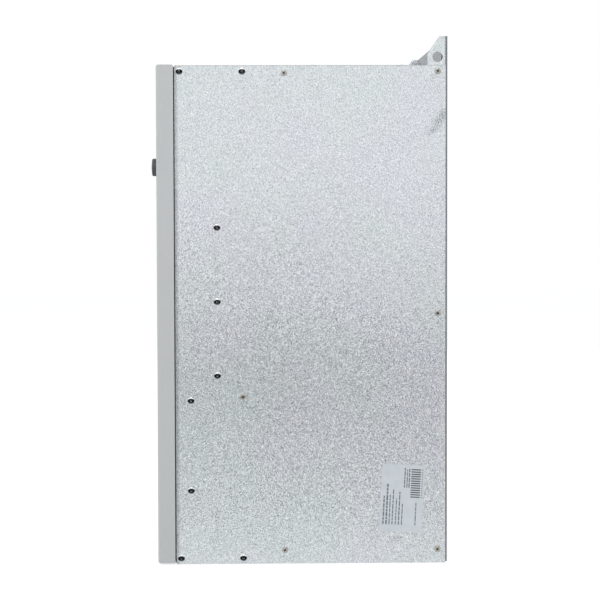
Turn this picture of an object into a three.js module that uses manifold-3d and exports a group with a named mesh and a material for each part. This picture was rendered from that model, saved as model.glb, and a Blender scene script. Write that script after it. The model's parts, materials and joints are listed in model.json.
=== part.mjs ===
// Wall-mounted frequency converter in a folded, galvanised sheet-steel case.
// Millimetres, +Z up. The front faces -Y and the wall is at +Y. Inside the group the wall plane
// is y = 0, so a depth is how far a place lies in front of the wall.
import * as THREE from 'three';
import { mergeVertices } from 'three/addons/utils/BufferGeometryUtils.js';
import Module from 'manifold-3d';

const wasm = await Module();
wasm.setup();

// Sides of round shapes, from fine to coarse
const wideSides = 20;
const roundSides = 12;
const smallSides = 6;
const holeSides = 6;
const bendSteps = 2;
const cornerSteps = 2;
const tightCornerSteps = 1;
const bushSides = 12;

// Case
const caseWidth = 300;
const caseHeight = 580;
const caseDepth = 338;
const clearance = 0.3;
const overrun = 3;
const mergeTolerance = 1e-4;

// Side panels
const panelSheet = 1.2;
const panelBend = 3;
const panelFlange = 14;
const panelRearSetback = 2.6;
const panelCornerCut = 2.2;

// Front cover, a tray open to the rear
const coverDepth = 20;
const coverWall = 2;
const coverRise = 1;
const coverCorner = 3;
const coverRearChamfer = 2;

// Top and bottom plates of the electronics and of the air duct
const plateSheet = 1.2;
const plateBend = 2.4;
const plateFlange = 14;
const plateRaise = 3;
const plateSplitDepth = 200;
const ventWidth = 5;
const ventPitch = 18;
const baseVentPitch = 30;
const topVentCount = 12;
const baseVentCount = 8;
const topVentLength = 76;
const baseVentLength = 15;
const baseVentInset = 6;
const inletSlotLength = 68;
const inletSlotCount = 14;
const inletRowGap = 8;

// Back plate with its side flanges, lifting ears, keyholes and open slots
const backSheet = 2;
const backBend = 3;
const earRise = 33.5;
const backRaise = 1;
const backFlange = 23.5;
const earTopFlat = 9.7;
const earSlopeDrop = 20;
const liftEyeDiameter = 12;
const liftEyeDrop = 24;
const keyholeSideInset = 37;
const keyholeSlotWidth = 9;
const keyholeHeadDiameter = 15;
const keyholeTopDrop = 7;
const keyholeHeadDrop = 23;
const footSlotDepth = 16;
const footNotchWidth = 20;
const footNotchDepth = 12;

// Partition between the electronics and the air duct
const partitionDepth = 197;
const partitionSheet = 2;
const partitionFlange = 15;
const windowMargin = 14;

// Fastener columns, as depths in front of the wall, and rows, as heights above the base
const frontRivetDepth = 311;
const middleRivetDepth = 238.5;
const railRivetDepth = 299;
const boardRivetDepth = 268;
const partitionScrewDepth = 190;
const rearScrewDepth = 11.8;
const plateRivetInset = 7;
const upperScrewDrop = 9;
const rearUpperScrewDrop = 7;
const lowerScrewHeight = 16;
const rearMiddleScrewHeight = 292.5;
const boardRivetHeights = [220.5, 306.6, 392.8];
const railHeights = [86.3, 191.5];
const deckScrewHeight = 195.7;
const rivetHoleDiameter = 4.1;
const screwHoleDiameter = 4.3;

// Rails behind the front cover
const railHeight = 20;
const railTab = 30;

// Plates that carry the boards and the main terminals
const boardPlateDepth = 275.5;
const boardPlateFlange = 15;
const boardPlateBase = 205;
const boardPlateHeight = 203;
const deckDepth = 247;
const deckFlange = 16;
const deckBase = 108;
const deckHeight = 97;

// Boards and their standoffs
const boardSheet = 1.6;
const standoffDiameter = 8;
const standoffInset = 8;
const controlBoardWidth = 200;
const controlBoardHeight = 170;
const controlStandoff = 8;
const driverBoardSideGap = 8.5;
const driverBoardHeight = 108;
const driverBoardBase = 212;
const driverStandoff = 39;
const chipHeight = 3;
const chipSize = 26;
const chipColumns = 3;
const chipRows = 2;

// Terminals
const poleCount = 9;
const polePitch = 24;
const poleBlockHeight = 50;
const poleBlockDepth = 26;
const poleStepDepth = 14;
const barrierSheet = 2.5;
const barrierDepth = 44;
const controlTerminalWidth = 150;
const controlTerminalHeight = 14;
const controlTerminalDepth = 14;
const controlTerminalMouth = 6;
const controlPoleCount = 10;
const groundBarWidth = 160;
const groundBarHeight = 20;
const groundBarDepth = 6;
const groundBarBase = 34;
const groundHoleCount = 5;
const groundHoleDiameter = 6.5;

// Cable entries in the base plate
const powerBushDiameter = 46;
const controlBushDiameter = 28;
const powerBushShares = [-0.33, -0.095, 0.14];
const controlBushShare = 0.35;
const bushDepth = 262;
const bushWall = 5;
const bushLip = 4;
const bushLipHeight = 2;

// Heatsink
const sinkSideGap = 11.5;
const sinkBase = 118;
const sinkHeight = 240;
const sinkPlate = 14;
const finHeight = 150;
const finSheet = 2;
const finCount = 24;

// Power modules
const modulePitchShare = 0.26;
const moduleHeight = 30;
const moduleFoot = 3;
const moduleInset = 3;
const moduleRib = 4;
const igbtWidth = 62;
const igbtLength = 106;
const rectifierWidth = 34;
const rectifierLength = 94;
const moduleGap = 6;
const terminalPadDiameter = 14;
const terminalPadHeight = 2;
const igbtPadOffsets = [-30, 8, 36];
const rectifierPadOffsets = [-26, 0, 26];

// Capacitor bank and the bars over it
const canDiameterShare = 0.22;
const canLength = 100;
const canPitchShare = 0.267;
const canLowerRow = 405;
const canStudDiameter = 14;
const canStudHeight = 4;
const canStudPitch = 28;
const barSheet = 2;
const barFilm = 1.4;
const barMargin = 17;
const barHoleMargin = 5;

// Choke in the duct
const chokeWidth = 112;
const chokeHeight = 84;
const chokeLeg = 24;
const chokeStack = 60;
const chokeBase = 24;
const coilBuild = 12;
const coilCorner = 5;

// Fans
const fanSize = 120;
const fanHeight = 38;
const fanSpacing = 126;
const fanCorner = 8;
const fanBore = 116;
const fanFlangeSheet = 4;
const fanHoleSpacing = 105;
const fanHoleDiameter = 4.6;
const fanTubeWall = 1.8;
const trayHoleDiameter = 112;
const hubDiameter = 46;
const hubDiscHeight = 5;
const strutWidth = 5;
const strutCount = 4;
const statorDiameter = 34;
const statorHeight = 16;
const shaftDiameter = 4;
const rotorGap = 0.6;
const rotorCupHeight = 27;
const rotorCupWall = 2;
const bladeCount = 7;
const bladeTipGap = 2;
const bladeSheet = 1.8;
const bladeRootChord = 26;
const bladeTipChord = 40;
const bladeRootPitch = 48;
const bladeTipPitch = 26;
const bladeCamberShare = 0.09;
const bladeSweep = 14;
const bladeStations = 3;
const bladeSteps = 3;

// Wire guards
const guardRingWire = 1.6;
const guardArmWire = 1.8;
const guardRadii = [17, 34, 51];
const guardWireSides = 4;
const guardEyeRadius = 3.6;

// Keypad
const keypadWidth = 72;
const keypadHeight = 106;
const keypadCorner = 5;
const keypadBezel = 3;
const keypadProud = 3;
const keypadDepth = 19;
const keypadWall = 2;
const knobHeight = 466.5;
const keyRowPitch = 22;
const keyColumnPitch = 22;
const keypadBottomMargin = 16;
const keyWidth = 14;
const keyHeight = 9.5;
const keyCorner = 2;
const keyProud = 1.4;
const keyTravel = 1;
const keyCrown = 0.5;
const keyCrownInset = 1;
const keyRim = 1.4;
const keyRimSheet = 1.5;
const keySwitchSize = 6;
const displayRise = 44;
const lensWidth = 54;
const lensHeight = 21;
const lensSheet = 1.2;
const lensLedge = 3;
const digitCount = 5;
const digitGap = 1.2;
const bossDiameter = 5;
const bossInset = 4;

// Knob and the potentiometer behind it
const knobReach = 13.5;
const knobDiameter = 23;
const knobLift = 0.6;
const knobTipShare = 0.9;
const knobCrown = 1.2;
const knobCapDiameter = 8.4;
const knobCapRise = 0.8;
const knobFlutes = 18;
const knobFluteDepth = 0.8;
const spindleDiameter = 5.4;
const bushingDiameter = 9;
const potBodyDiameter = 16;
const potBodyDepth = 10;

// Places worked out from the sizes above
const insideHalf = caseWidth / 2 - panelSheet - clearance;
const panelFront = -(caseDepth - coverDepth) + clearance;
const frontInside = panelFront + panelBend + clearance;
const backTop = caseHeight + earRise;
const overallDepth = caseDepth + knobReach;
const keyholeSpacing = caseWidth - 2 * keyholeSideInset;
const sinkWidth = 2 * (insideHalf - backSheet - sinkSideGap);
const modulePitch = modulePitchShare * caseWidth;
const canPitch = canPitchShare * caseWidth;
const canDiameter = canDiameterShare * caseWidth;
const driverBoardWidth = 2 * (insideHalf - backSheet - driverBoardSideGap);
const partitionFront = -partitionDepth;
const partitionRear = partitionFront + partitionSheet;
const partitionBase = plateRaise + plateSheet + clearance;
const partitionTop = caseHeight - plateSheet - clearance;
const flangeRear = partitionFront + partitionFlange + clearance;
const flangeFront = -backFlange - clearance;
const ductMiddle = (flangeRear + flangeFront) / 2;
const sinkFront = partitionRear + clearance;
const moduleFace = sinkFront - clearance - moduleHeight;
const rectifierMiddle = sinkBase + windowMargin + moduleInset + rectifierLength / 2;
const igbtMiddle = rectifierMiddle + rectifierLength / 2 + moduleGap + igbtLength / 2;
const canFront = moduleFace - terminalPadHeight + canStudHeight;
const liveBarRear = moduleFace - terminalPadHeight - clearance;
const returnBarRear = liveBarRear - barSheet - barFilm;
const fanTop = caseHeight - plateSheet - clearance;
const fanBase = fanTop - fanHeight;
const keypadFace = -caseDepth - keypadProud;
const keypadBottom = knobHeight - keyRowPitch - keypadBottomMargin;
const keypadMiddle = keypadBottom + keypadHeight / 2;
const displayHeight = knobHeight + displayRise;
const keyRimFront = keypadFace + keypadWall + clearance;
const keypadBoardFront = keyRimFront + keyRimSheet + keyTravel + clearance;
const guardFloor = caseHeight + clearance;

const steel = { color: 0xb9bfc3, roughness: 0.45, metalness: 0.85 };
const brightSteel = { color: 0xc9cccf, roughness: 0.3, metalness: 0.95 };
const paint = { color: 0xb8bbba, roughness: 0.55, metalness: 0.0 };
const darkPlastic = { color: 0x3b3e42, roughness: 0.6, metalness: 0.0 };
const knobPlastic = { color: 0x55585c, roughness: 0.55, metalness: 0.0 };
const keyPlastic = { color: 0xd5d8d8, roughness: 0.6, metalness: 0.0 };
const runPlastic = { color: 0x3f8a56, roughness: 0.6, metalness: 0.0 };
const stopPlastic = { color: 0xb23a34, roughness: 0.6, metalness: 0.0 };
const lensPlastic = { color: 0x2a0f10, roughness: 0.15, metalness: 0.0 };
const blackPlastic = { color: 0x1d1e20, roughness: 0.55, metalness: 0.0 };
const rubber = { color: 0x1a1a1a, roughness: 0.85, metalness: 0.0 };
const aluminium = { color: 0xc4c7c9, roughness: 0.4, metalness: 0.9 };
const copper = { color: 0xb87746, roughness: 0.35, metalness: 0.95 };
const laminate = { color: 0x1f5a3a, roughness: 0.5, metalness: 0.0 };
const ironCore = { color: 0x55504b, roughness: 0.6, metalness: 0.6 };

const group = new THREE.Group();
group.position.y = overallDepth / 2;

// Solids

function toSolid(geometry) {
  const loose = geometry.index ? geometry.toNonIndexed() : geometry.clone();
  loose.deleteAttribute('normal');
  loose.deleteAttribute('uv');
  const merged = mergeVertices(loose, mergeTolerance);
  const corners = merged.attributes.position;
  const kept = [];
  let volume = 0;
  const [a, b, c] = [new THREE.Vector3(), new THREE.Vector3(), new THREE.Vector3()];
  for (let i = 0; i < merged.index.count; i += 3) {
    const [p, q, r] = [0, 1, 2].map((corner) => merged.index.getX(i + corner));
    if (p === q || q === r || r === p) continue;
    a.fromBufferAttribute(corners, p);
    b.fromBufferAttribute(corners, q);
    c.fromBufferAttribute(corners, r);
    volume += a.dot(b.cross(c));
    kept.push(p, q, r);
  }
  if (volume < 0) kept.reverse();
  const triVerts = new Uint32Array(kept);
  return new wasm.Manifold(new wasm.Mesh({ numProp: 3, vertProperties: corners.array, triVerts }));
}

function toGeometry(solid) {
  const mesh = solid.getMesh();
  const geometry = new THREE.BufferGeometry();
  geometry.setAttribute('position', new THREE.BufferAttribute(new Float32Array(mesh.vertProperties), 3));
  geometry.setIndex(new THREE.BufferAttribute(new Uint32Array(mesh.triVerts), 1));
  geometry.computeVertexNormals();
  return geometry;
}

function join(...pieces) {
  return toGeometry(pieces.map(toSolid).reduce((whole, piece) => whole.add(piece)));
}

function cut(body, ...tools) {
  return toGeometry(tools.map(toSolid).reduce((rest, tool) => rest.subtract(tool), toSolid(body)));
}

function mirrored(geometry) {
  return geometry.clone().scale(-1, 1, 1);
}

function add(name, geometry, finish) {
  const material = new THREE.MeshStandardMaterial({ ...finish, flatShading: true });
  const mesh = new THREE.Mesh(toGeometry(toSolid(geometry)), material);
  mesh.name = name;
  group.add(mesh);
  return mesh;
}

// Outlines

function arcPoints(x, y, radius, start, end, steps) {
  return Array.from({ length: steps + 1 }, (_, i) => {
    const angle = start + ((end - start) * i) / steps;
    return new THREE.Vector2(x + radius * Math.cos(angle), y + radius * Math.sin(angle));
  });
}

function ringPoints(x, y, radius, sides) {
  return arcPoints(x, y, radius, 0, 2 * Math.PI, sides).slice(0, sides);
}

function rectPoints(x0, x1, y0, y1) {
  return [new THREE.Vector2(x0, y0), new THREE.Vector2(x1, y0), new THREE.Vector2(x1, y1), new THREE.Vector2(x0, y1)];
}

function roundedPoints(x, y, width, height, radius, steps = cornerSteps) {
  const [reach, rise] = [width / 2 - radius, height / 2 - radius];
  const corners = [[1, 1], [-1, 1], [-1, -1], [1, -1]];
  return corners.flatMap(([sx, sy], i) => {
    const start = (i * Math.PI) / 2;
    return arcPoints(x + sx * reach, y + sy * rise, radius, start, start + Math.PI / 2, steps);
  });
}

function slotPoints(x, y, width, length, steps = cornerSteps) {
  const rise = length / 2 - width / 2;
  const upper = arcPoints(x, y + rise, width / 2, 0, Math.PI, steps);
  return upper.concat(arcPoints(x, y - rise, width / 2, Math.PI, 2 * Math.PI, steps));
}

// The closed outline of a folded sheet. The path runs along one face, the sheet lies to its left,
// and the outer bend radius is the same at each fold.
function foldedPoints(path, sheet, bend) {
  const face = [path[0]];
  const other = [];
  const leftOf = (d) => new THREE.Vector2(-d.y, d.x);
  const heading = (i) => path[i + 1].clone().sub(path[i]).normalize();
  other.push(path[0].clone().addScaledVector(leftOf(heading(0)), sheet));
  for (let i = 1; i < path.length - 1; i += 1) {
    const [before, after] = [heading(i - 1), heading(i)];
    const turn = Math.atan2(before.cross(after), before.dot(after));
    const side = Math.sign(turn);
    const faceRadius = side > 0 ? bend : bend - sheet;
    const centre = path[i].clone().addScaledVector(before, -faceRadius * Math.tan(Math.abs(turn) / 2));
    centre.addScaledVector(leftOf(before), side * faceRadius);
    for (let step = 0; step <= bendSteps; step += 1) {
      const out = leftOf(before).multiplyScalar(-side).rotateAround(new THREE.Vector2(), (turn * step) / bendSteps);
      face.push(centre.clone().addScaledVector(out, faceRadius));
      other.push(centre.clone().addScaledVector(out, faceRadius - side * sheet));
    }
  }
  const last = path.length - 1;
  face.push(path[last]);
  other.push(path[last].clone().addScaledVector(leftOf(heading(last - 1)), sheet));
  return face.concat(other.reverse());
}

// Extrusions and revolved shapes

function extruded(points, holes, length) {
  const shape = new THREE.Shape(points);
  shape.holes = holes.map((hole) => new THREE.Path(hole));
  return new THREE.ExtrudeGeometry(shape, { depth: length, bevelEnabled: false });
}

function alongZ(points, z0, z1, holes = []) {
  return extruded(points, holes, z1 - z0).translate(0, 0, z0);
}

function alongX(points, x0, x1, holes = []) {
  const turn = new THREE.Matrix4().makeBasis(
    new THREE.Vector3(0, 1, 0),
    new THREE.Vector3(0, 0, 1),
    new THREE.Vector3(1, 0, 0),
  );
  return extruded(points, holes, x1 - x0).applyMatrix4(turn).translate(x0, 0, 0);
}

function alongY(points, y0, y1, holes = []) {
  const turn = new THREE.Matrix4().makeBasis(
    new THREE.Vector3(1, 0, 0),
    new THREE.Vector3(0, 0, 1),
    new THREE.Vector3(0, -1, 0),
  );
  return extruded(points, holes, y1 - y0).applyMatrix4(turn).translate(0, y1, 0);
}

function block(x0, x1, y0, y1, z0, z1) {
  return new THREE.BoxGeometry(x1 - x0, y1 - y0, z1 - z0).translate((x0 + x1) / 2, (y0 + y1) / 2, (z0 + z1) / 2);
}

function pinAlongY(x, z, diameter, y0, y1, sides = smallSides) {
  return alongY(ringPoints(x, z, diameter / 2, sides), y0, y1);
}

function pinAlongZ(x, y, diameter, z0, z1, sides = roundSides) {
  return alongZ(ringPoints(x, y, diameter / 2, sides), z0, z1);
}

// A profile of (radius, height) points turned about the Z axis.
function revolved(points, sides) {
  return new THREE.LatheGeometry(points, sides).rotateX(Math.PI / 2);
}

// Fasteners: each place is a depth in front of the wall and a height

const topRivets = [frontRivetDepth, middleRivetDepth].map((depth) => [depth, caseHeight - plateRivetInset]);
const baseRivets = [frontRivetDepth, middleRivetDepth].map((depth) => [depth, plateRivetInset]);
const boardRivets = boardRivetHeights.map((height) => [boardRivetDepth, height]);
const railRivets = railHeights.map((height) => [railRivetDepth, height]);
const partitionScrews = [caseHeight - upperScrewDrop, lowerScrewHeight].map((height) => [partitionScrewDepth, height]);
const rearScrewHeights = [caseHeight - rearUpperScrewDrop, rearMiddleScrewHeight, lowerScrewHeight];
const rearScrews = rearScrewHeights.map((height) => [rearScrewDepth, height]);
const deckScrews = [[middleRivetDepth, deckScrewHeight]];

function sideHoles(places, diameter) {
  return places.map(([depth, height]) => {
    const points = ringPoints(-depth, height, diameter / 2, holeSides);
    return alongX(points, -caseWidth / 2 - overrun, caseWidth / 2 + overrun);
  });
}

// Case pieces

function sidePanel() {
  const half = caseWidth / 2;
  const path = [
    new THREE.Vector2(half - panelFlange, panelFront),
    new THREE.Vector2(half, panelFront),
    new THREE.Vector2(half, -panelRearSetback),
  ];
  const sheet = alongZ(foldedPoints(path, panelSheet, panelBend), 0, caseHeight);
  const rivets = [...topRivets, ...baseRivets, ...boardRivets, ...railRivets];
  const screws = [...partitionScrews, ...rearScrews, ...deckScrews];
  return cut(
    sheet,
    ...[0, caseHeight].map((height) => cornerCut(height)),
    ...sideHoles(rivets, rivetHoleDiameter),
    ...sideHoles(screws, screwHoleDiameter),
  );
}

// Takes the sharp corner off the folded front edge at the top or the bottom.
function cornerCut(height) {
  const inward = height > 0 ? -1 : 1;
  const points = [
    new THREE.Vector2(panelFront - overrun, height - inward * overrun),
    new THREE.Vector2(panelFront + panelCornerCut, height - inward * overrun),
    new THREE.Vector2(panelFront + panelCornerCut, height),
    new THREE.Vector2(panelFront, height + inward * panelCornerCut),
    new THREE.Vector2(panelFront - overrun, height + inward * panelCornerCut),
  ];
  return alongX(points, -caseWidth, caseWidth);
}

// A sheet facing the front with a flange folded to the rear at each side.
function crossSheet(front, sheet, bend, flange, z0, z1) {
  const path = [
    new THREE.Vector2(-insideHalf, front + flange),
    new THREE.Vector2(-insideHalf, front),
    new THREE.Vector2(insideHalf, front),
    new THREE.Vector2(insideHalf, front + flange),
  ];
  return alongZ(foldedPoints(path, sheet, bend), z0, z1);
}

function topFold(y0, y1) {
  const path = [
    new THREE.Vector2(insideHalf, caseHeight - plateFlange),
    new THREE.Vector2(insideHalf, caseHeight),
    new THREE.Vector2(-insideHalf, caseHeight),
    new THREE.Vector2(-insideHalf, caseHeight - plateFlange),
  ];
  return alongY(foldedPoints(path, plateSheet, plateBend), y0, y1);
}

function baseFold(y0, y1) {
  const path = [
    new THREE.Vector2(-insideHalf, plateRaise + plateFlange),
    new THREE.Vector2(-insideHalf, plateRaise),
    new THREE.Vector2(insideHalf, plateRaise),
    new THREE.Vector2(insideHalf, plateRaise + plateFlange),
  ];
  return alongY(foldedPoints(path, plateSheet, plateBend), y0, y1);
}

// A row of long slots, cut through the plate at the given height.
function slotRow(count, pitch, length, middle, height) {
  return Array.from({ length: count }, (_, i) => {
    const x = (i - (count - 1) / 2) * pitch;
    return alongZ(slotPoints(x, middle, ventWidth, length, tightCornerSteps), height - overrun, height + overrun);
  });
}

// The shelf and lip that bring a plate forward to the cover's rim, between the panels' folds.
function frontLip(low, high, sheetBase) {
  const half = caseWidth / 2 - panelFlange - clearance;
  return [
    block(-half, half, panelFront, frontInside + plateSheet, sheetBase, sheetBase + plateSheet),
    block(-half, half, panelFront, panelFront + plateSheet, low, high),
  ];
}

function topPlate() {
  const middle = (frontInside - plateSplitDepth) / 2;
  const lip = frontLip(caseHeight - plateFlange, caseHeight, caseHeight - plateSheet);
  return cut(
    join(topFold(frontInside, -plateSplitDepth), ...lip),
    ...slotRow(topVentCount, ventPitch, topVentLength, middle, caseHeight),
  );
}

const bushes = [
  ...powerBushShares.map((share) => ({ x: share * caseWidth, diameter: powerBushDiameter })),
  { x: controlBushShare * caseWidth, diameter: controlBushDiameter },
];

function basePlate() {
  const ventMiddle = -plateSplitDepth - baseVentInset - baseVentLength / 2;
  const entries = bushes.map(({ x, diameter }) => {
    const hole = diameter + 2 * clearance;
    return pinAlongZ(x, -bushDepth, hole, plateRaise - overrun, plateRaise + overrun, bushSides);
  });
  const lip = frontLip(plateRaise, plateRaise + plateFlange, plateRaise);
  return cut(
    join(baseFold(frontInside, -plateSplitDepth), ...lip),
    ...entries,
    ...slotRow(baseVentCount, baseVentPitch, baseVentLength, ventMiddle, plateRaise),
  );
}

// A rubber bush: a wall through the hole with a lip on each side of the plate.
function cableBush(diameter) {
  const outer = diameter / 2;
  const inner = outer - bushWall;
  const lip = outer + bushLip;
  const [under, over] = [plateRaise - clearance, plateRaise + plateSheet + clearance];
  const points = [
    new THREE.Vector2(inner, under - bushLipHeight),
    new THREE.Vector2(lip, under - bushLipHeight),
    new THREE.Vector2(lip, under),
    new THREE.Vector2(outer, under),
    new THREE.Vector2(outer, over),
    new THREE.Vector2(lip, over),
    new THREE.Vector2(lip, over + bushLipHeight),
    new THREE.Vector2(inner, over + bushLipHeight),
    new THREE.Vector2(inner, under - bushLipHeight),
  ];
  return revolved(points, bushSides);
}

function fanTray() {
  const middle = topFold(flangeRear, flangeFront);
  const [top, under] = [caseHeight, caseHeight - plateSheet];
  const narrow = insideHalf - backSheet - clearance;
  const front = block(-insideHalf, insideHalf, -plateSplitDepth + clearance, flangeRear + plateSheet, under, top);
  const rear = block(-narrow, narrow, flangeFront - plateSheet, -backSheet - clearance, under, top);
  const holes = fanPlaces.flatMap((x) => [
    pinAlongZ(x, ductMiddle, trayHoleDiameter, under - overrun, top + overrun, wideSides),
    ...fanScrewPins(x, under - overrun, top + overrun),
  ]);
  return cut(join(middle, front, rear), ...holes);
}

function inletGrille() {
  const middle = baseFold(flangeRear, flangeFront);
  const [top, under] = [plateRaise + plateSheet, plateRaise];
  const narrow = insideHalf - backSheet - clearance;
  const front = block(-insideHalf, insideHalf, -plateSplitDepth + clearance, flangeRear + plateSheet, under, top);
  const rear = block(-narrow, narrow, flangeFront - plateSheet, -backSheet - clearance, under, top);
  const rowMiddles = [-1, 1].map((side) => ductMiddle + (side * (inletSlotLength + inletRowGap)) / 2);
  const notches = keyholePlaces.map((x) => {
    const half = footNotchWidth / 2;
    return block(x - half, x + half, -footNotchDepth, overrun, under - overrun, top + overrun);
  });
  return cut(
    join(middle, front, rear),
    ...rowMiddles.flatMap((row) => slotRow(inletSlotCount, ventPitch, inletSlotLength, row, plateRaise)),
    ...notches,
  );
}

const keyholePlaces = [-keyholeSpacing / 2, keyholeSpacing / 2];

function backPlate() {
  const path = [
    new THREE.Vector2(insideHalf, -backFlange),
    new THREE.Vector2(insideHalf, 0),
    new THREE.Vector2(-insideHalf, 0),
    new THREE.Vector2(-insideHalf, -backFlange),
  ];
  const sheet = alongZ(foldedPoints(path, backSheet, backBend), backRaise, backTop);
  const eye = ringPoints(-rearScrewDepth, backTop - liftEyeDrop, liftEyeDiameter / 2, roundSides);
  const eyes = alongX(eye, -caseWidth, caseWidth);
  const cuts = keyholePlaces.flatMap((x) => [...keyhole(x), footSlot(x)]);
  return cut(sheet, earSlope(), eyes, ...cuts, ...sideHoles(rearScrews, screwHoleDiameter));
}

// What comes off both flanges above the case, to leave the sloping ears.
function earSlope() {
  const points = [
    new THREE.Vector2(-backFlange - overrun, backTop + overrun),
    new THREE.Vector2(-backFlange - overrun, backTop - earSlopeDrop),
    new THREE.Vector2(-backFlange, backTop - earSlopeDrop),
    new THREE.Vector2(-earTopFlat, backTop),
    new THREE.Vector2(-earTopFlat, backTop + overrun),
  ];
  return alongX(points, -caseWidth, caseWidth);
}

function keyhole(x) {
  const slotTop = backTop - keyholeTopDrop;
  const headMiddle = backTop - keyholeHeadDrop;
  const length = slotTop - headMiddle;
  const slot = slotPoints(x, slotTop - length / 2, keyholeSlotWidth, length);
  const head = ringPoints(x, headMiddle, keyholeHeadDiameter / 2, roundSides);
  return [alongY(slot, -backSheet - overrun, overrun), alongY(head, -backSheet - overrun, overrun)];
}

function footSlot(x) {
  const top = backRaise + footSlotDepth;
  const length = 2 * footSlotDepth;
  return alongY(slotPoints(x, top - length / 2, keyholeSlotWidth, length), -backSheet - overrun, overrun);
}

function partition() {
  const sheet = crossSheet(partitionFront, partitionSheet, backBend, partitionFlange, partitionBase, partitionTop);
  const halfWindow = sinkWidth / 2 - windowMargin;
  const [low, high] = [sinkBase + windowMargin, sinkBase + sinkHeight - windowMargin];
  const window = rectPoints(-halfWindow, halfWindow, low, high);
  const opening = alongY(window, partitionFront - overrun, partitionRear + overrun);
  const canHoles = canPlaces.map(([x, z]) => {
    const hole = canDiameter + 2 * clearance;
    return pinAlongY(x, z, hole, partitionFront - overrun, partitionRear + overrun, roundSides);
  });
  const posts = boardCorners(driverBoardWidth, driverBoardHeight, driverBoardBase).map(([x, z]) =>
    pinAlongY(x, z, standoffDiameter, partitionFront - driverStandoff, partitionRear - panelSheet),
  );
  return join(cut(sheet, opening, ...canHoles, ...sideHoles(partitionScrews, screwHoleDiameter)), ...posts);
}

function frontCover() {
  const [base, top] = [coverRise, coverRise + caseHeight];
  const half = caseWidth / 2;
  const rear = panelFront - clearance;
  const shell = alongZ(trayPoints(half, -caseDepth, rear, coverCorner), base, top);
  const hollow = block(-half + coverWall, half - coverWall, -caseDepth + coverWall, rear + overrun,
    base + coverWall, top - coverWall);
  const edges = [base, top].map((height) => coverEdge(height, rear));
  const mouth = roundedPoints(0, keypadMiddle, keypadBodyWidth + 2 * clearance, keypadBodyHeight + 2 * clearance,
    keypadCorner);
  return cut(shell, hollow, ...edges, alongY(mouth, -caseDepth - overrun, -caseDepth + coverWall + overrun));
}

// The plan of the cover, with its two front edges rounded.
function trayPoints(half, front, rear, radius) {
  const left = arcPoints(-half + radius, front + radius, radius, Math.PI, 1.5 * Math.PI, cornerSteps);
  const right = arcPoints(half - radius, front + radius, radius, 1.5 * Math.PI, 2 * Math.PI, cornerSteps);
  return [...left, ...right, new THREE.Vector2(half, rear), new THREE.Vector2(-half, rear)];
}

// Rounds the cover's top or bottom front edge and chamfers the rear one.
function coverEdge(height, rear) {
  const outward = height > coverRise ? 1 : -1;
  const level = height - outward * coverCorner;
  const arc = arcPoints(-caseDepth + coverCorner, level, coverCorner, Math.PI, Math.PI - (outward * Math.PI) / 2,
    cornerSteps);
  const frontCorner = [
    new THREE.Vector2(-caseDepth - overrun, level),
    ...arc,
    new THREE.Vector2(-caseDepth + coverCorner, height + outward * overrun),
    new THREE.Vector2(-caseDepth - overrun, height + outward * overrun),
  ];
  const rearCorner = [
    new THREE.Vector2(rear - coverRearChamfer, height),
    new THREE.Vector2(rear, height - outward * coverRearChamfer),
    new THREE.Vector2(rear + overrun, height - outward * coverRearChamfer),
    new THREE.Vector2(rear + overrun, height + outward * overrun),
    new THREE.Vector2(rear - coverRearChamfer, height + outward * overrun),
  ];
  return join(alongX(frontCorner, -caseWidth, caseWidth), alongX(rearCorner, -caseWidth, caseWidth));
}

// Boards and what carries them

function boardCorners(width, height, base) {
  const [reach, low, high] = [width / 2 - standoffInset, base + standoffInset, base + height - standoffInset];
  return [[-reach, low], [reach, low], [-reach, high], [reach, high]];
}

function boardPlate() {
  const sheet = crossSheet(-boardPlateDepth, plateSheet, plateBend, boardPlateFlange,
    boardPlateBase, boardPlateBase + boardPlateHeight);
  const posts = boardCorners(controlBoardWidth, controlBoardHeight, controlBoardBase).map(([x, z]) =>
    pinAlongY(x, z, standoffDiameter, -boardPlateDepth - controlStandoff, -boardPlateDepth + plateSheet / 2),
  );
  return join(cut(sheet, ...sideHoles(boardRivets, rivetHoleDiameter)), ...posts);
}

const controlBoardBase = boardPlateBase + (boardPlateHeight - controlBoardHeight) / 2;
const controlBoardRear = -boardPlateDepth - controlStandoff - clearance;
const driverBoardRear = partitionFront - driverStandoff - clearance;

// A bare board with square components in a grid on its front.
function circuitBoard(width, height, base, rear) {
  const front = rear - boardSheet;
  const chips = [];
  for (let column = 0; column < chipColumns; column += 1) {
    for (let row = 0; row < chipRows; row += 1) {
      const x = ((column + 1) / (chipColumns + 1) - 1 / 2) * width;
      const z = base + ((row + 1) / (chipRows + 1)) * height;
      const half = chipSize / 2;
      chips.push(block(x - half, x + half, front - chipHeight, front + boardSheet / 2, z - half, z + half));
    }
  }
  return join(block(-width / 2, width / 2, front, rear, base, base + height), ...chips);
}

function controlTerminals() {
  const face = controlBoardRear - boardSheet - clearance;
  const [front, rear] = [face - controlTerminalDepth, face];
  const half = controlTerminalWidth / 2;
  const low = controlBoardBase;
  const high = low + controlTerminalHeight;
  const pitch = controlTerminalWidth / controlPoleCount;
  const mouths = Array.from({ length: controlPoleCount }, (_, i) => {
    const x = (i - (controlPoleCount - 1) / 2) * pitch;
    const reach = pitch / 2 - plateSheet;
    return block(x - reach, x + reach, front - overrun, front + controlTerminalMouth, low - overrun,
      low + controlTerminalHeight / 2);
  });
  return cut(block(-half, half, front, rear, low, high), ...mouths);
}

function terminalDeck() {
  const sheet = crossSheet(-deckDepth, plateSheet, plateBend, deckFlange, deckBase, deckBase + deckHeight);
  return cut(sheet, ...sideHoles(deckScrews, screwHoleDiameter));
}

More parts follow.
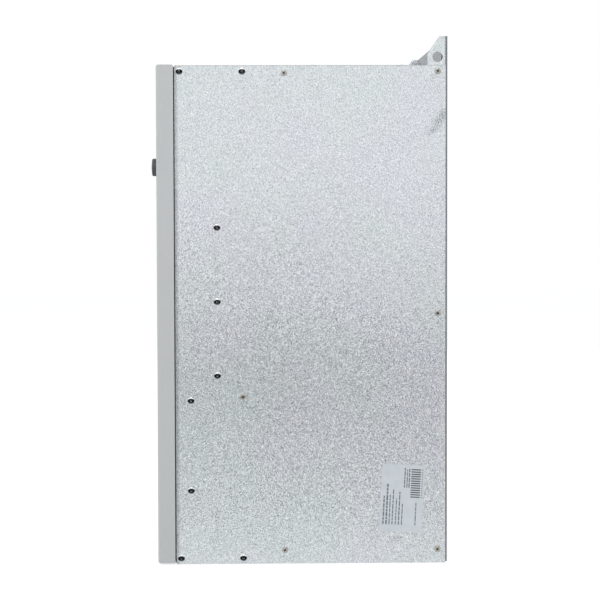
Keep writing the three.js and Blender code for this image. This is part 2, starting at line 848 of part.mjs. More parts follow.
// The main terminal strip: a stepped body with a barrier at each side of every pole.
function terminalBlock() {
  const rear = -deckDepth - clearance;
  const middle = deckBase + deckHeight / 2;
  const [low, high] = [middle - poleBlockHeight / 2, middle + poleBlockHeight / 2];
  const step = low + poleBlockHeight / 2;
  const profile = [
    new THREE.Vector2(rear, low),
    new THREE.Vector2(rear, high),
    new THREE.Vector2(rear - poleBlockDepth, high),
    new THREE.Vector2(rear - poleBlockDepth, step),
    new THREE.Vector2(rear - poleStepDepth, step),
    new THREE.Vector2(rear - poleStepDepth, low),
  ];
  const half = (poleCount * polePitch) / 2;
  const barriers = Array.from({ length: poleCount + 1 }, (_, i) => {
    const x = i * polePitch - half;
    return block(x - barrierSheet / 2, x + barrierSheet / 2, rear - barrierDepth, rear, low, high);
  });
  return join(alongX(profile, -half, half), ...barriers);
}

function groundBar() {
  const rear = partitionFront - clearance;
  const half = groundBarWidth / 2;
  const middle = groundBarBase + groundBarHeight / 2;
  const holes = Array.from({ length: groundHoleCount }, (_, i) => {
    const x = ((i + 1 / 2) / groundHoleCount - 1 / 2) * groundBarWidth;
    return ringPoints(x, middle, groundHoleDiameter / 2, smallSides);
  });
  const outline = rectPoints(-half, half, groundBarBase, groundBarBase + groundBarHeight);
  return alongY(outline, rear - groundBarDepth, rear, holes);
}

// Power parts

function heatsink() {
  const half = sinkWidth / 2;
  const rear = sinkFront + sinkPlate;
  const pitch = (sinkWidth - finSheet) / (finCount - 1);
  const points = [new THREE.Vector2(-half, sinkFront), new THREE.Vector2(half, sinkFront)];
  for (let i = finCount - 1; i >= 0; i -= 1) {
    const left = i * pitch - half;
    const right = left + finSheet;
    if (i < finCount - 1) points.push(new THREE.Vector2(right, rear));
    points.push(new THREE.Vector2(right, rear + finHeight));
    points.push(new THREE.Vector2(left, rear + finHeight));
    if (i > 0) points.push(new THREE.Vector2(left, rear));
  }
  return alongZ(points, sinkBase, sinkBase + sinkHeight);
}

// A power module: a metal foot, a moulded body with a raised rib and round terminal pads.
function powerModule(width, length, padOffsets) {
  const rear = sinkFront - clearance;
  const footFront = rear - moduleFoot;
  const [halfWidth, halfLength] = [width / 2, length / 2];
  const foot = block(-halfWidth, halfWidth, footFront, rear, -halfLength, halfLength);
  const bodyHalf = halfWidth - moduleInset;
  const bodyFront = moduleFace + moduleRib;
  const body = block(-bodyHalf, bodyHalf, bodyFront, rear - moduleFoot / 2, -halfLength + moduleInset,
    halfLength - moduleInset);
  const ribHalf = terminalPadDiameter / 2 + moduleInset;
  const rib = block(-ribHalf, ribHalf, moduleFace, bodyFront + moduleRib, -halfLength + moduleInset,
    halfLength - moduleInset);
  const pads = padOffsets.map((z) => pinAlongY(0, z, terminalPadDiameter, moduleFace - terminalPadHeight, rear));
  return join(foot, body, rib, ...pads);
}

const canRows = [canLowerRow, canLowerRow + canPitch];
const canPlaces = canRows.flatMap((z) => [-canPitch, 0, canPitch].map((x) => [x, z]));

// A can with two stud terminals at its front end.
function capacitor() {
  const can = pinAlongY(0, 0, canDiameter, canFront, canFront + canLength, roundSides);
  const studs = [-1, 1].map((side) => {
    const x = (side * canStudPitch) / 2;
    return pinAlongY(x, 0, canStudDiameter, canFront - canStudHeight, canFront + canStudHeight);
  });
  return join(can, ...studs);
}

// A flat bar over the cans and the inverter modules. It touches its own terminals, by collars where
// it lies above the other bar, and stays clear of the others through wide holes.
function powerBar(rear, side, collarReach) {
  const half = canPitch + canStudPitch / 2 + barMargin;
  const low = igbtMiddle + igbtPadOffsets[1] - barMargin;
  const high = canRows[1] + barMargin;
  const own = canPlaces.map(([x, z]) => [x + (side * canStudPitch) / 2, z]);
  const others = canPlaces.map(([x, z]) => [x - (side * canStudPitch) / 2, z]);
  const [ownPad, otherPad] = side > 0 ? [1, 2] : [2, 1];
  for (const x of [-modulePitch, 0, modulePitch]) {
    own.push([x, igbtMiddle + igbtPadOffsets[ownPad]]);
    others.push([x, igbtMiddle + igbtPadOffsets[otherPad]]);
  }
  const hole = canStudDiameter + 2 * barHoleMargin;
  const wide = others.map(([x, z]) => ringPoints(x, z, hole / 2, holeSides));
  const outline = rectPoints(-half, half, low, high);
  const plate = cut(
    alongY(outline, rear - barSheet, rear),
    ...wide.map((points) => alongY(points, rear - barSheet - overrun, rear + overrun)),
  );
  if (collarReach === 0) return plate;
  const collars = own.map(([x, z]) => pinAlongY(x, z, canStudDiameter, rear - barSheet / 2, rear + collarReach));
  return join(plate, ...collars);
}

// The choke: a closed iron frame held to the partition by its yokes, and a coil on each leg.
const chokeMiddle = partitionRear + clearance + coilBuild + clearance + chokeStack / 2;

function chokeCore() {
  const half = chokeWidth / 2;
  const [low, high] = [chokeBase, chokeBase + chokeHeight];
  const hole = rectPoints(-half + chokeLeg, half - chokeLeg, low + chokeLeg, high - chokeLeg);
  const frame = alongY(rectPoints(-half, half, low, high), chokeMiddle - chokeStack / 2, chokeMiddle + chokeStack / 2,
    [hole]);
  const lugs = [[low, low + chokeLeg - coilBuild], [high - chokeLeg + coilBuild, high]].map(([z0, z1]) =>
    block(-half, half, partitionRear + clearance, chokeMiddle, z0, z1),
  );
  return join(frame, ...lugs);
}

function chokeCoil() {
  const legMiddle = chokeWidth / 2 - chokeLeg / 2;
  const [low, high] = [chokeBase + chokeLeg + clearance, chokeBase + chokeHeight - chokeLeg - clearance];
  const inner = roundedPoints(legMiddle, chokeMiddle, chokeLeg + 2 * clearance, chokeStack + 2 * clearance, clearance);
  const outer = roundedPoints(legMiddle, chokeMiddle, chokeLeg + 2 * coilBuild, chokeStack + 2 * coilBuild, coilCorner);
  return alongZ(outer, low, high, [inner]);
}

// Fans

const fanPlaces = [-fanSpacing / 2, fanSpacing / 2];

function fanScrewPins(x, z0, z1) {
  const reach = fanHoleSpacing / 2;
  return [[-1, -1], [1, -1], [1, 1], [-1, 1]].map(([sx, sy]) =>
    pinAlongZ(x + sx * reach, ductMiddle + sy * reach, fanHoleDiameter, z0, z1, holeSides),
  );
}

// The frame: two square flanges joined by a tube, with a motor base on four struts.
function fanFrame(x) {
  const square = roundedPoints(x, ductMiddle, fanSize, fanSize, fanCorner);
  const flanges = [[fanBase, fanBase + fanFlangeSheet], [fanTop - fanFlangeSheet, fanTop]].map(([z0, z1]) =>
    alongZ(square, z0, z1),
  );
  const tube = pinAlongZ(x, ductMiddle, fanBore + 2 * fanTubeWall, fanBase, fanTop, wideSides);
  const bore = pinAlongZ(x, ductMiddle, fanBore, fanBase - overrun, fanTop + overrun, wideSides);
  const shell = cut(join(...flanges, tube), bore);
  const struts = Array.from({ length: strutCount }, (_, i) =>
    block(0, fanBore / 2 + fanTubeWall / 2, -strutWidth / 2, strutWidth / 2, fanBase, fanBase + hubDiscHeight)
      .rotateZ(((i + 1 / 2) * 2 * Math.PI) / strutCount)
      .translate(x, ductMiddle, 0),
  );
  const disc = pinAlongZ(x, ductMiddle, hubDiameter, fanBase, fanBase + hubDiscHeight);
  const stator = pinAlongZ(x, ductMiddle, statorDiameter, fanBase, fanBase + hubDiscHeight + statorHeight);
  const bearing = pinAlongZ(x, ductMiddle, shaftDiameter + 2 * clearance, fanBase + hubDiscHeight, fanTop);
  return join(shell, cut(join(...struts, disc, stator), bearing));
}

// One rotor blade, as sections wrapped round the axis from the hub out to the tip.
function fanBlade() {
  const [root, tip] = [hubDiameter / 2 - rotorCupWall / 2, fanBore / 2 - bladeTipGap];
  const sections = [];
  for (let station = 0; station < bladeStations; station += 1) {
    const share = station / (bladeStations - 1);
    const radius = THREE.MathUtils.lerp(root, tip, share);
    const chord = THREE.MathUtils.lerp(bladeRootChord, bladeTipChord, share);
    const pitch = THREE.MathUtils.degToRad(THREE.MathUtils.lerp(bladeRootPitch, bladeTipPitch, share));
    const lean = THREE.MathUtils.degToRad(bladeSweep * share);
    sections.push(bladeSection(radius, chord, pitch, lean));
  }
  return lofted(sections);
}

function bladeSection(radius, chord, pitch, lean) {
  const face = (side) => Array.from({ length: bladeSteps + 1 }, (_, i) => {
    const along = i / bladeSteps - 1 / 2;
    const camber = bladeCamberShare * chord * (1 - 4 * along * along);
    const across = camber + (side * bladeSheet) / 2;
    const turned = along * chord * Math.cos(pitch) - across * Math.sin(pitch);
    const height = along * chord * Math.sin(pitch) + across * Math.cos(pitch);
    const angle = lean + turned / radius;
    return new THREE.Vector3(radius * Math.cos(angle), radius * Math.sin(angle), height);
  });
  return face(1).concat(face(-1).reverse());
}

// A closed skin through rings of points that have the same count, capped at both ends.
function lofted(sections) {
  const count = sections[0].length;
  const points = sections.flat();
  const triangles = [];
  for (let ring = 0; ring < sections.length - 1; ring += 1) {
    for (let i = 0; i < count; i += 1) {
      const [a, b] = [ring * count + i, ring * count + ((i + 1) % count)];
      triangles.push(a, b, a + count, b, b + count, a + count);
    }
  }
  const last = (sections.length - 1) * count;
  for (let i = 0; i < count / 2 - 1; i += 1) {
    const [a, b, c, d] = [i, i + 1, count - 2 - i, count - 1 - i];
    triangles.push(a, d, b, b, d, c);
    triangles.push(last + a, last + b, last + d, last + b, last + c, last + d);
  }
  const geometry = new THREE.BufferGeometry().setFromPoints(points);
  geometry.setIndex(triangles);
  return geometry;
}

// The rotor: a cup over the stator with its shaft, and the blades round it.
function fanRotor() {
  const outer = hubDiameter / 2;
  const inner = outer - rotorCupWall;
  const base = hubDiscHeight + rotorGap;
  const top = base + rotorCupHeight;
  const shaft = shaftDiameter / 2;
  const points = [
    new THREE.Vector2(0, base),
    new THREE.Vector2(shaft, base),
    new THREE.Vector2(shaft, top - rotorCupWall),
    new THREE.Vector2(inner, top - rotorCupWall),
    new THREE.Vector2(inner, base),
    new THREE.Vector2(outer, base),
    new THREE.Vector2(outer, top - rotorCupWall),
    new THREE.Vector2(outer - rotorCupWall, top),
    new THREE.Vector2(0, top),
  ];
  const middle = (base + top) / 2;
  const blades = Array.from({ length: bladeCount }, (_, i) =>
    fanBlade().rotateZ((i * 2 * Math.PI) / bladeCount).translate(0, 0, middle),
  );
  return join(revolved(points, roundSides), ...blades);
}

function wireRing(radius, wire, height, sides) {
  const points = ringPoints(radius, height, wire / 2, guardWireSides);
  return revolved([...points, points[0].clone()], sides);
}

// A finger guard: rings on four arms that end in screw eyes.
function fanGuard() {
  const armLevel = guardFloor + guardArmWire / 2;
  const ringLevel = armLevel + guardArmWire / 2 + guardRingWire / 4;
  const eyeReach = fanHoleSpacing / Math.SQRT2;
  const arms = Array.from({ length: strutCount }, (_, i) => {
    const arm = alongX(ringPoints(0, armLevel, guardArmWire / 2, guardWireSides), guardRadii[0] - guardRingWire / 2,
      eyeReach - guardEyeRadius);
    const eye = wireRing(guardEyeRadius, guardArmWire, armLevel, smallSides).translate(eyeReach, 0, 0);
    return join(arm, eye).rotateZ(((i + 1 / 2) * Math.PI) / 2);
  });
  const rings = guardRadii.map((radius) => wireRing(radius, guardRingWire, ringLevel, roundSides));
  return join(...arms, ...rings);
}

// Keypad

const keypadBodyWidth = keypadWidth - 2 * keypadBezel;
const keypadBodyHeight = keypadHeight - 2 * keypadBezel;
const keyPlaces = {
  key_program: [-keyColumnPitch, keyRowPitch],
  key_up: [0, keyRowPitch],
  key_enter: [keyColumnPitch, keyRowPitch],
  key_shift: [-keyColumnPitch, 0],
  key_jog: [keyColumnPitch, 0],
  key_run: [-keyColumnPitch, -keyRowPitch],
  key_down: [0, -keyRowPitch],
  key_stop: [keyColumnPitch, -keyRowPitch],
};

function keypadHousing() {
  const bezel = roundedPoints(0, keypadMiddle, keypadWidth, keypadHeight, keypadCorner);
  const body = roundedPoints(0, keypadMiddle, keypadBodyWidth, keypadBodyHeight, keypadCorner);
  const rear = keypadFace + keypadDepth;
  const inner = roundedPoints(0, keypadMiddle, keypadBodyWidth - 2 * keypadWall, keypadBodyHeight - 2 * keypadWall,
    keypadCorner - keypadWall);
  const shell = join(alongY(bezel, keypadFace, -caseDepth - clearance), alongY(body, keypadFace, rear));
  const through = [keypadFace - overrun, keypadFace + keypadWall + overrun];
  const keyHoles = Object.values(keyPlaces).map(([x, rise]) =>
    alongY(roundedPoints(x, knobHeight + rise, keyWidth + 2 * clearance, keyHeight + 2 * clearance, keyCorner,
      tightCornerSteps),
      ...through),
  );
  const seat = roundedPoints(0, displayHeight, lensWidth + 2 * clearance, lensHeight + 2 * clearance, keyCorner);
  const sight = roundedPoints(0, displayHeight, lensWidth - 2 * lensLedge, lensHeight - 2 * lensLedge, keyCorner);
  const hollowed = cut(
    shell,
    alongY(inner, keypadFace + keypadWall, rear + overrun),
    ...keyHoles,
    alongY(seat, keypadFace - overrun, keypadFace + lensSheet),
    alongY(sight, ...through),
    pinAlongY(0, knobHeight, bushingDiameter + 2 * clearance, ...through, roundSides),
  );
  const bosses = bossPlaces().map(([x, z]) =>
    pinAlongY(x, z, bossDiameter, keypadFace + keypadWall / 2, keypadBoardFront - clearance),
  );
  return join(hollowed, ...bosses);
}

function bossPlaces() {
  const [reach, rise] = [keypadBodyWidth / 2 - bossInset, keypadBodyHeight / 2 - bossInset];
  return [[-1, -1], [1, -1], [1, 1], [-1, 1]].map(([sx, sz]) => [sx * reach, keypadMiddle + sz * rise]);
}

function keypadWindow() {
  const outline = roundedPoints(0, displayHeight, lensWidth, lensHeight, keyCorner);
  const rear = keypadFace + lensSheet - clearance;
  return alongY(outline, rear - lensSheet, rear);
}

// The board behind the keys, with the digit block, the switches and a hole for the potentiometer.
function keypadBoard() {
  const width = keypadBodyWidth - 2 * keypadWall - 2 * clearance;
  const height = keypadBodyHeight - 2 * keypadWall - 2 * clearance;
  const outline = roundedPoints(0, keypadMiddle, width, height, keypadCorner - keypadWall);
  const socket = ringPoints(0, knobHeight, potBodyDiameter / 2 + clearance, roundSides);
  const board = alongY(outline, keypadBoardFront, keypadBoardFront + boardSheet, [socket]);
  const digitsWidth = lensWidth - 2 * lensLedge - 2 * clearance;
  const digitPitch = digitsWidth / digitCount;
  const digitHeight = lensHeight - 2 * lensLedge - 2 * clearance;
  const digits = Array.from({ length: digitCount }, (_, i) => {
    const x = (i - (digitCount - 1) / 2) * digitPitch;
    const half = (digitPitch - digitGap) / 2;
    return block(x - half, x + half, keypadFace + keypadWall, keypadBoardFront + boardSheet / 2,
      displayHeight - digitHeight / 2, displayHeight + digitHeight / 2);
  });
  const switches = Object.values(keyPlaces).map(([x, rise]) => {
    const half = keySwitchSize / 2;
    const z = knobHeight + rise;
    return block(x - half, x + half, keypadBoardFront + boardSheet / 2, keypadBoardFront + boardSheet + chipHeight,
      z - half, z + half);
  });
  return join(board, ...digits, ...switches);
}

// A key: a crowned cap in front of a wider rim that stops it behind the keypad's face.
function keyCap() {
  const face = keypadFace - keyProud;
  const cap = roundedPoints(0, 0, keyWidth, keyHeight, keyCorner, tightCornerSteps);
  const crown = roundedPoints(0, 0, keyWidth - 2 * keyCrownInset, keyHeight - 2 * keyCrownInset, keyCrownInset,
    tightCornerSteps);
  const rim = roundedPoints(0, 0, keyWidth + 2 * keyRim, keyHeight + 2 * keyRim, keyCorner, tightCornerSteps);
  return join(
    alongY(cap, face, keyRimFront + keyRimSheet / 2),
    alongY(crown, face - keyCrown, face + keyCrown),
    alongY(rim, keyRimFront, keyRimFront + keyRimSheet),
  );
}

// The knob: a fluted, slightly tapered grip with a small raised cap, and its spindle behind.
function knob() {
  const front = -caseDepth - knobReach;
  const rear = keypadFace - knobLift;
  const radius = knobDiameter / 2;
  const tip = front + knobCapRise;
  const points = [
    new THREE.Vector2(0, -rear),
    new THREE.Vector2(radius, -rear),
    new THREE.Vector2(radius * knobTipShare, -tip - knobCrown),
    new THREE.Vector2(radius * knobTipShare - knobCrown, -tip),
    new THREE.Vector2(knobCapDiameter / 2, -tip),
    new THREE.Vector2(knobCapDiameter / 2 - knobCapRise / 2, -front),
    new THREE.Vector2(0, -front),
  ];
  const grip = revolved(points, knobFlutes).rotateX(Math.PI / 2);
  const flutes = Array.from({ length: knobFlutes }, (_, i) => {
    const angle = ((i + 1 / 2) * 2 * Math.PI) / knobFlutes;
    const reach = radius + knobFluteDepth / 2;
    return pinAlongY(reach * Math.cos(angle), reach * Math.sin(angle), 2 * knobFluteDepth, front - overrun, rear +
      overrun, guardWireSides);
  });
  const spindle = pinAlongY(0, 0, spindleDiameter, rear - overrun, keypadFace + potBodyDepth, roundSides);
  return join(cut(grip, ...flutes), spindle);
}

function potentiometer() {
  const bodyFront = keyRimFront;
  const body = pinAlongY(0, knobHeight, potBodyDiameter, bodyFront, bodyFront + potBodyDepth, roundSides);
  const bushing = pinAlongY(0, knobHeight, bushingDiameter, keypadFace - clearance, bodyFront + keypadWall, roundSides);
  const bore = pinAlongY(0, knobHeight, spindleDiameter + 2 * clearance, keypadFace - overrun,
    keypadFace + potBodyDepth + clearance, roundSides);
  return cut(join(body, bushing), bore);
}

// Assembly

add('back_plate', backPlate(), steel);
add('side_panel_right', sidePanel(), steel);
add('side_panel_left', mirrored(sidePanel()), steel);
add('top_plate', topPlate(), steel);
add('base_plate', basePlate(), steel);
add('partition', partition(), steel);
add('fan_tray', fanTray(), steel);
add('inlet_grille', inletGrille(), steel);
add('front_cover', frontCover(), paint);
['cover_rail_lower', 'cover_rail_upper'].forEach((name, i) => {
  const base = railHeights[i] - railHeight / 2;
  const rail = crossSheet(frontInside, plateSheet, plateBend, railTab, base, base + railHeight);
  add(name, cut(rail, ...sideHoles([railRivets[i]], rivetHoleDiameter)), steel);
});
add('board_plate', boardPlate(), steel);
add('terminal_deck', terminalDeck(), steel);

['line_cable_bush', 'motor_cable_bush', 'brake_cable_bush', 'control_cable_bush'].forEach((name, i) => {
  const { x, diameter } = bushes[i];
  add(name, cableBush(diameter), rubber).position.set(x, -bushDepth, 0);
});

add('heatsink', heatsink(), aluminium);
['u', 'v', 'w'].forEach((phase, i) => {
  const x = (i - 1) * modulePitch;
  const inverter = powerModule(igbtWidth, igbtLength, igbtPadOffsets);
  add(`inverter_module_${phase}`, inverter, blackPlastic).position.set(x, 0, igbtMiddle);
  const rectifier = powerModule(rectifierWidth, rectifierLength, rectifierPadOffsets);
  add(`rectifier_module_${phase}`, rectifier, blackPlastic).position.set(x, 0, rectifierMiddle);
});
canPlaces.forEach(([x, z], i) => {
  add(`capacitor_${i + 1}`, capacitor(), aluminium).position.set(x, 0, z);
});
add('positive_bar', powerBar(liveBarRear, 1, 0), copper);
add('negative_bar', powerBar(returnBarRear, -1, barSheet + barFilm), copper);
add('choke_core', chokeCore(), ironCore);
add('choke_coil_right', chokeCoil(), copper);
add('choke_coil_left', mirrored(chokeCoil()), copper);

add('driver_board', circuitBoard(driverBoardWidth, driverBoardHeight, driverBoardBase, driverBoardRear), laminate);
add('control_board', circuitBoard(controlBoardWidth, controlBoardHeight, controlBoardBase, controlBoardRear), laminate);
add('control_terminals', controlTerminals(), laminate);
add('terminal_block', terminalBlock(), blackPlastic);
add('ground_bar', groundBar(), copper);

['left', 'right'].forEach((side, i) => {
  add(`fan_frame_${side}`, fanFrame(fanPlaces[i]), blackPlastic);
  add(`fan_rotor_${side}`, fanRotor(), blackPlastic).position.set(fanPlaces[i], ductMiddle, fanBase);
  add(`fan_guard_${side}`, fanGuard(), brightSteel).position.set(fanPlaces[i], ductMiddle, 0);
});

add('keypad_housing', keypadHousing(), darkPlastic);
add('keypad_window', keypadWindow(), lensPlastic);
add('keypad_board', keypadBoard(), laminate);
const keyFinishes = { key_run: runPlastic, key_stop: stopPlastic };
Object.entries(keyPlaces).forEach(([name, [x, rise]]) => {
  add(name, keyCap(), keyFinishes[name] ?? keyPlastic).position.set(x, 0, knobHeight + rise);
});
add('knob', knob(), knobPlastic).position.set(0, 0, knobHeight);
add('potentiometer', potentiometer(), darkPlastic);

export default group;
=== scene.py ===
"""Looks of a wall-mounted frequency converter in a folded galvanised case with a grey front cover."""

import json
import logging
import math
import random
from contextlib import contextmanager
from dataclasses import dataclass, field, replace
from enum import Enum
from typing import Any, Callable, Iterator, Sequence

import bmesh
import bpy
from mathutils import Matrix, Vector

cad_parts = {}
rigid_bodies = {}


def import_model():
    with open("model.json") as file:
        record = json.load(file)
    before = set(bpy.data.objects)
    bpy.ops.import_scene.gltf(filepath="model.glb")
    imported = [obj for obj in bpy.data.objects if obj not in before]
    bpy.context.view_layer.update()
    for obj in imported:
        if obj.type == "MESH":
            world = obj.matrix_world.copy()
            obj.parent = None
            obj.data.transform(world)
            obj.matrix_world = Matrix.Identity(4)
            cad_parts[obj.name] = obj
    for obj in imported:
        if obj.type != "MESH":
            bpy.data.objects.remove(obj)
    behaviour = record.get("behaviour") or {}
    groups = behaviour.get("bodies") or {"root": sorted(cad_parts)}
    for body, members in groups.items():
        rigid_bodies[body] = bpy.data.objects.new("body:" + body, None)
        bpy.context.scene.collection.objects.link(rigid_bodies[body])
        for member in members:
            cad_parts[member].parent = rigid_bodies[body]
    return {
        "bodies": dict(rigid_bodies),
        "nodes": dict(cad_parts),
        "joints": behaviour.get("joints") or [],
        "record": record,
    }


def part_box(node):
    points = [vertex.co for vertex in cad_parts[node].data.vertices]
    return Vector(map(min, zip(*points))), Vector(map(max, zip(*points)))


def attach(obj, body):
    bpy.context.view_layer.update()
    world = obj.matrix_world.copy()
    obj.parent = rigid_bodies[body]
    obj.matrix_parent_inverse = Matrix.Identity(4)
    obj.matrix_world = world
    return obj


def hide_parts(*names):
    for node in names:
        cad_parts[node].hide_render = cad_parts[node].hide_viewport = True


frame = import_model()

log = logging.getLogger("frequency_converter")

MM = 0.001
METRE_MM = 1000.0
CASE = "case"
TIGHT = 1e-6
WELD = 2e-6
PHOTO_SIZE = 600.0
STEEP = 0.5
RELIEF_STRENGTH = 0.6
# Slopes of the faces that look forward, which take painted shade and extra roughness
FORWARD_SLOPES = (-0.9, -0.3)
FORWARD_ROUGHNESS = 0.5
CORNERS = ((-1, -1), (1, -1), (1, 1), (-1, 1))
BUSHES = ("line_cable_bush", "motor_cable_bush", "brake_cable_bush", "control_cable_bush")

Point = tuple[float, float]
Outline = list[Point]
Box = tuple[Vector, Vector]
Piece = bpy.types.Object
Node = bpy.types.Node
Socket = bpy.types.NodeSocket
Tree = bpy.types.NodeTree


class Element(Enum):
    """What an edit-mode selection holds."""

    FACE = "FACE"
    EDGE = "EDGE"


class Plane(Enum):
    """The plane of a flat outline: its two axes, and the axis that it is extruded along."""

    XY = (0, 1, 2)
    XZ = (0, 2, 1)
    YZ = (1, 2, 0)


class Side(Enum):
    """The two sides of the case, by the sign of X."""

    LEFT = -1
    RIGHT = 1


# Modelling


def deselect_all() -> None:
    """Leaves edit mode and deselects every object."""
    active = bpy.context.view_layer.objects.active
    if active is not None and active.mode != "OBJECT":
        bpy.ops.object.mode_set(mode="OBJECT")
    bpy.ops.object.select_all(action="DESELECT")


def take(piece: Piece) -> Piece:
    """Makes one object the only selected and the active one.

    Args:
        piece: The object.

    Returns:
        The same object.
    """
    deselect_all()
    piece.select_set(True)
    bpy.context.view_layer.objects.active = piece
    return piece


def settle(name: str, place: Matrix | None = None) -> Piece:
    """Names the active object and applies its place, so that it stands at the origin.

    Args:
        name: The name of the object.
        place: A matrix that moves the object first, or None.

    Returns:
        The object.
    """
    piece = bpy.context.view_layer.objects.active
    if place is not None:
        piece.matrix_world = place @ piece.matrix_world
        bpy.context.view_layer.update()
    take(piece)
    bpy.ops.object.transform_apply(location=True, rotation=True, scale=True)
    piece.name = name
    return piece


@contextmanager
def editing(piece: Piece, element: Element = Element.EDGE) -> Iterator[None]:
    """Holds an object in edit mode, with nothing selected at the start.

    Args:
        piece: The object.
        element: What the selection holds.

    Yields:
        Nothing: the operators act on the object.
    """
    take(piece)
    bpy.ops.object.mode_set(mode="EDIT")
    bpy.ops.mesh.select_mode(type=element.value)
    bpy.ops.mesh.select_all(action="DESELECT")
    yield
    bpy.ops.object.mode_set(mode="OBJECT")


def pick(piece: Piece, element: Element, test: Callable[[Any], bool]) -> int:
    """Selects the edit-mode faces or edges that pass a test.

    Args:
        piece: The object, in edit mode.
        element: Faces or edges.
        test: Says whether an element is wanted.

    Returns:
        How many were found.
    """
    bpy.ops.mesh.select_all(action="DESELECT")
    mesh = bmesh.from_edit_mesh(piece.data)
    wanted = [part for part in (mesh.faces if element is Element.FACE else mesh.edges) if test(part)]
    for part in wanted:
        part.select_set(True)
    bmesh.update_edit_mesh(piece.data)
    return len(wanted)


def tidy(piece: Piece) -> Piece:
    """Merges doubled vertices and turns the faces outwards.

    Args:
        piece: The object.

    Returns:
        The same object.
    """
    with editing(piece):
        bpy.ops.mesh.select_all(action="SELECT")
        bpy.ops.mesh.remove_doubles(threshold=WELD)
        bpy.ops.mesh.normals_make_consistent(inside=False)
    return piece


def modify(piece: Piece, kind: str, **settings: Any) -> Piece:
    """Adds a modifier and applies it.

    Args:
        piece: The object.
        kind: The modifier's type.
        **settings: Its settings.

    Returns:
        The same object.
    """
    take(piece)
    modifier = piece.modifiers.new(kind.lower(), kind)
    for key, value in settings.items():
        setattr(modifier, key, value)
    bpy.ops.object.modifier_apply(modifier=modifier.name)
    return piece


def soften(piece: Piece, width_mm: float, segments: int = 2, angle: float = 40.0) -> Piece:
    """Rounds every edge that turns by more than an angle.

    Args:
        piece: The object.
        width_mm: The size of the rounding.
        segments: Its steps.
        angle: The least angle between the faces, in degrees.

    Returns:
        The same object.
    """
    return modify(piece, "BEVEL", width=width_mm * MM, segments=segments, limit_method="ANGLE",
                  angle_limit=math.radians(angle), use_clamp_overlap=True)


def smooth(piece: Piece, angle: float = 32.0) -> Piece:
    """Shades faces smooth across edges below an angle, and keeps flat faces flat by their larger area.

    Args:
        piece: The object.
        angle: The angle in degrees.

    Returns:
        The same object.
    """
    take(piece)
    bpy.ops.object.shade_smooth_by_angle(angle=math.radians(angle))
    return modify(piece, "WEIGHTED_NORMAL", keep_sharp=True)


def joined(name: str, *pieces: Piece) -> Piece:
    """Joins objects into one without a boolean.

    Args:
        name: The name of the result.
        *pieces: The objects, which are used up.

    Returns:
        The joined object.
    """
    take(pieces[0])
    for piece in pieces[1:]:
        piece.select_set(True)
    if len(pieces) > 1:
        bpy.ops.object.join()
    pieces[0].name = name
    return pieces[0]


def moved(piece: Piece, name: str, place: Matrix) -> Piece:
    """Names an object and moves its mesh."""
    take(piece)
    return settle(name, place)


def round_front(piece: Piece, front: float, radius: float, segments: int, profile: float = 0.5,
                clamp: bool = True) -> None:
    """Rounds the edges of an object's front face.

    Args:
        piece: The object.
        front: The Y of its front face.
        radius: The size of the rounding.
        segments: Its steps.
        profile: Its shape, 0.5 for round.
        clamp: Whether neighbouring roundings stop each other.
    """
    with editing(piece):
        pick(piece, Element.EDGE, lambda edge: all(vertex.co.y < front + TIGHT for vertex in edge.verts))
        bpy.ops.mesh.bevel(offset=radius, segments=segments, profile=profile, affect="EDGES",
                           clamp_overlap=clamp)


def combine(piece: Piece, tool: Piece, operation: str = "DIFFERENCE") -> Piece:
    """Cuts, unites or trims an object with another one, which is used up.

    Args:
        piece: The object that stays.
        tool: The other object.
        operation: DIFFERENCE, UNION or INTERSECT.

    Returns:
        The first object.
    """
    before = len(piece.data.vertices)
    for solver in ("MANIFOLD", "EXACT"):
        modify(piece, "BOOLEAN", object=tool, operation=operation, solver=solver)
        if len(piece.data.vertices) != before:
            break
    else:
        log.warning("%s: nothing changed in a %s", piece.name, operation)
    bpy.data.objects.remove(tool)
    return piece


def copied(piece: Piece, name: str, place: Matrix) -> Piece:
    """Copies an object with a mesh of its own and moves the copy's mesh.

    Args:
        piece: The object to copy.
        name: The name of the copy.
        place: The matrix that moves it.

    Returns:
        The copy.
    """
    take(piece)
    bpy.ops.object.duplicate(linked=False)
    return settle(name, place)


def slab(name: str, low: Sequence[float], high: Sequence[float]) -> Piece:
    """Starts a piece from a cube primitive between two corners.

    Args:
        name: The name of the object.
        low: The lowest corner.
        high: The highest corner.

    Returns:
        The object.
    """
    deselect_all()
    middle = [(a + b) / 2 for a, b in zip(low, high)]
    bpy.ops.mesh.primitive_cube_add(size=1, location=middle, scale=[b - a for a, b in zip(low, high)])
    return settle(name)


def prism(name: str, outline: Outline, plane: Plane, start: float, end: float) -> Piece:
    """Starts a piece from a filled circle primitive, sets its corners on an outline and extrudes it.

    Args:
        name: The name of the object.
        outline: The corners in the plane.
        plane: The plane of the outline.
        start: Where the extrusion starts on the third axis.
        end: Where it ends.

    Returns:
        The object.
    """
    deselect_all()
    bpy.ops.mesh.primitive_circle_add(vertices=len(outline), radius=1, fill_type="NGON")
    piece = settle(name)
    first, second, third = plane.value
    with editing(piece, Element.FACE):
        mesh = bmesh.from_edit_mesh(piece.data)
        mesh.verts.ensure_lookup_table()
        for vertex, (u, v) in zip(mesh.verts, outline):
            vertex.co[first], vertex.co[second], vertex.co[third] = u, v, start
        bmesh.update_edit_mesh(piece.data)
        shift = [0.0, 0.0, 0.0]
        shift[third] = end - start
        bpy.ops.mesh.select_all(action="SELECT")
        bpy.ops.mesh.extrude_region_move(TRANSFORM_OT_translate={"value": shift})
        bpy.ops.mesh.select_all(action="SELECT")
        bpy.ops.mesh.normals_make_consistent(inside=False)
    return piece


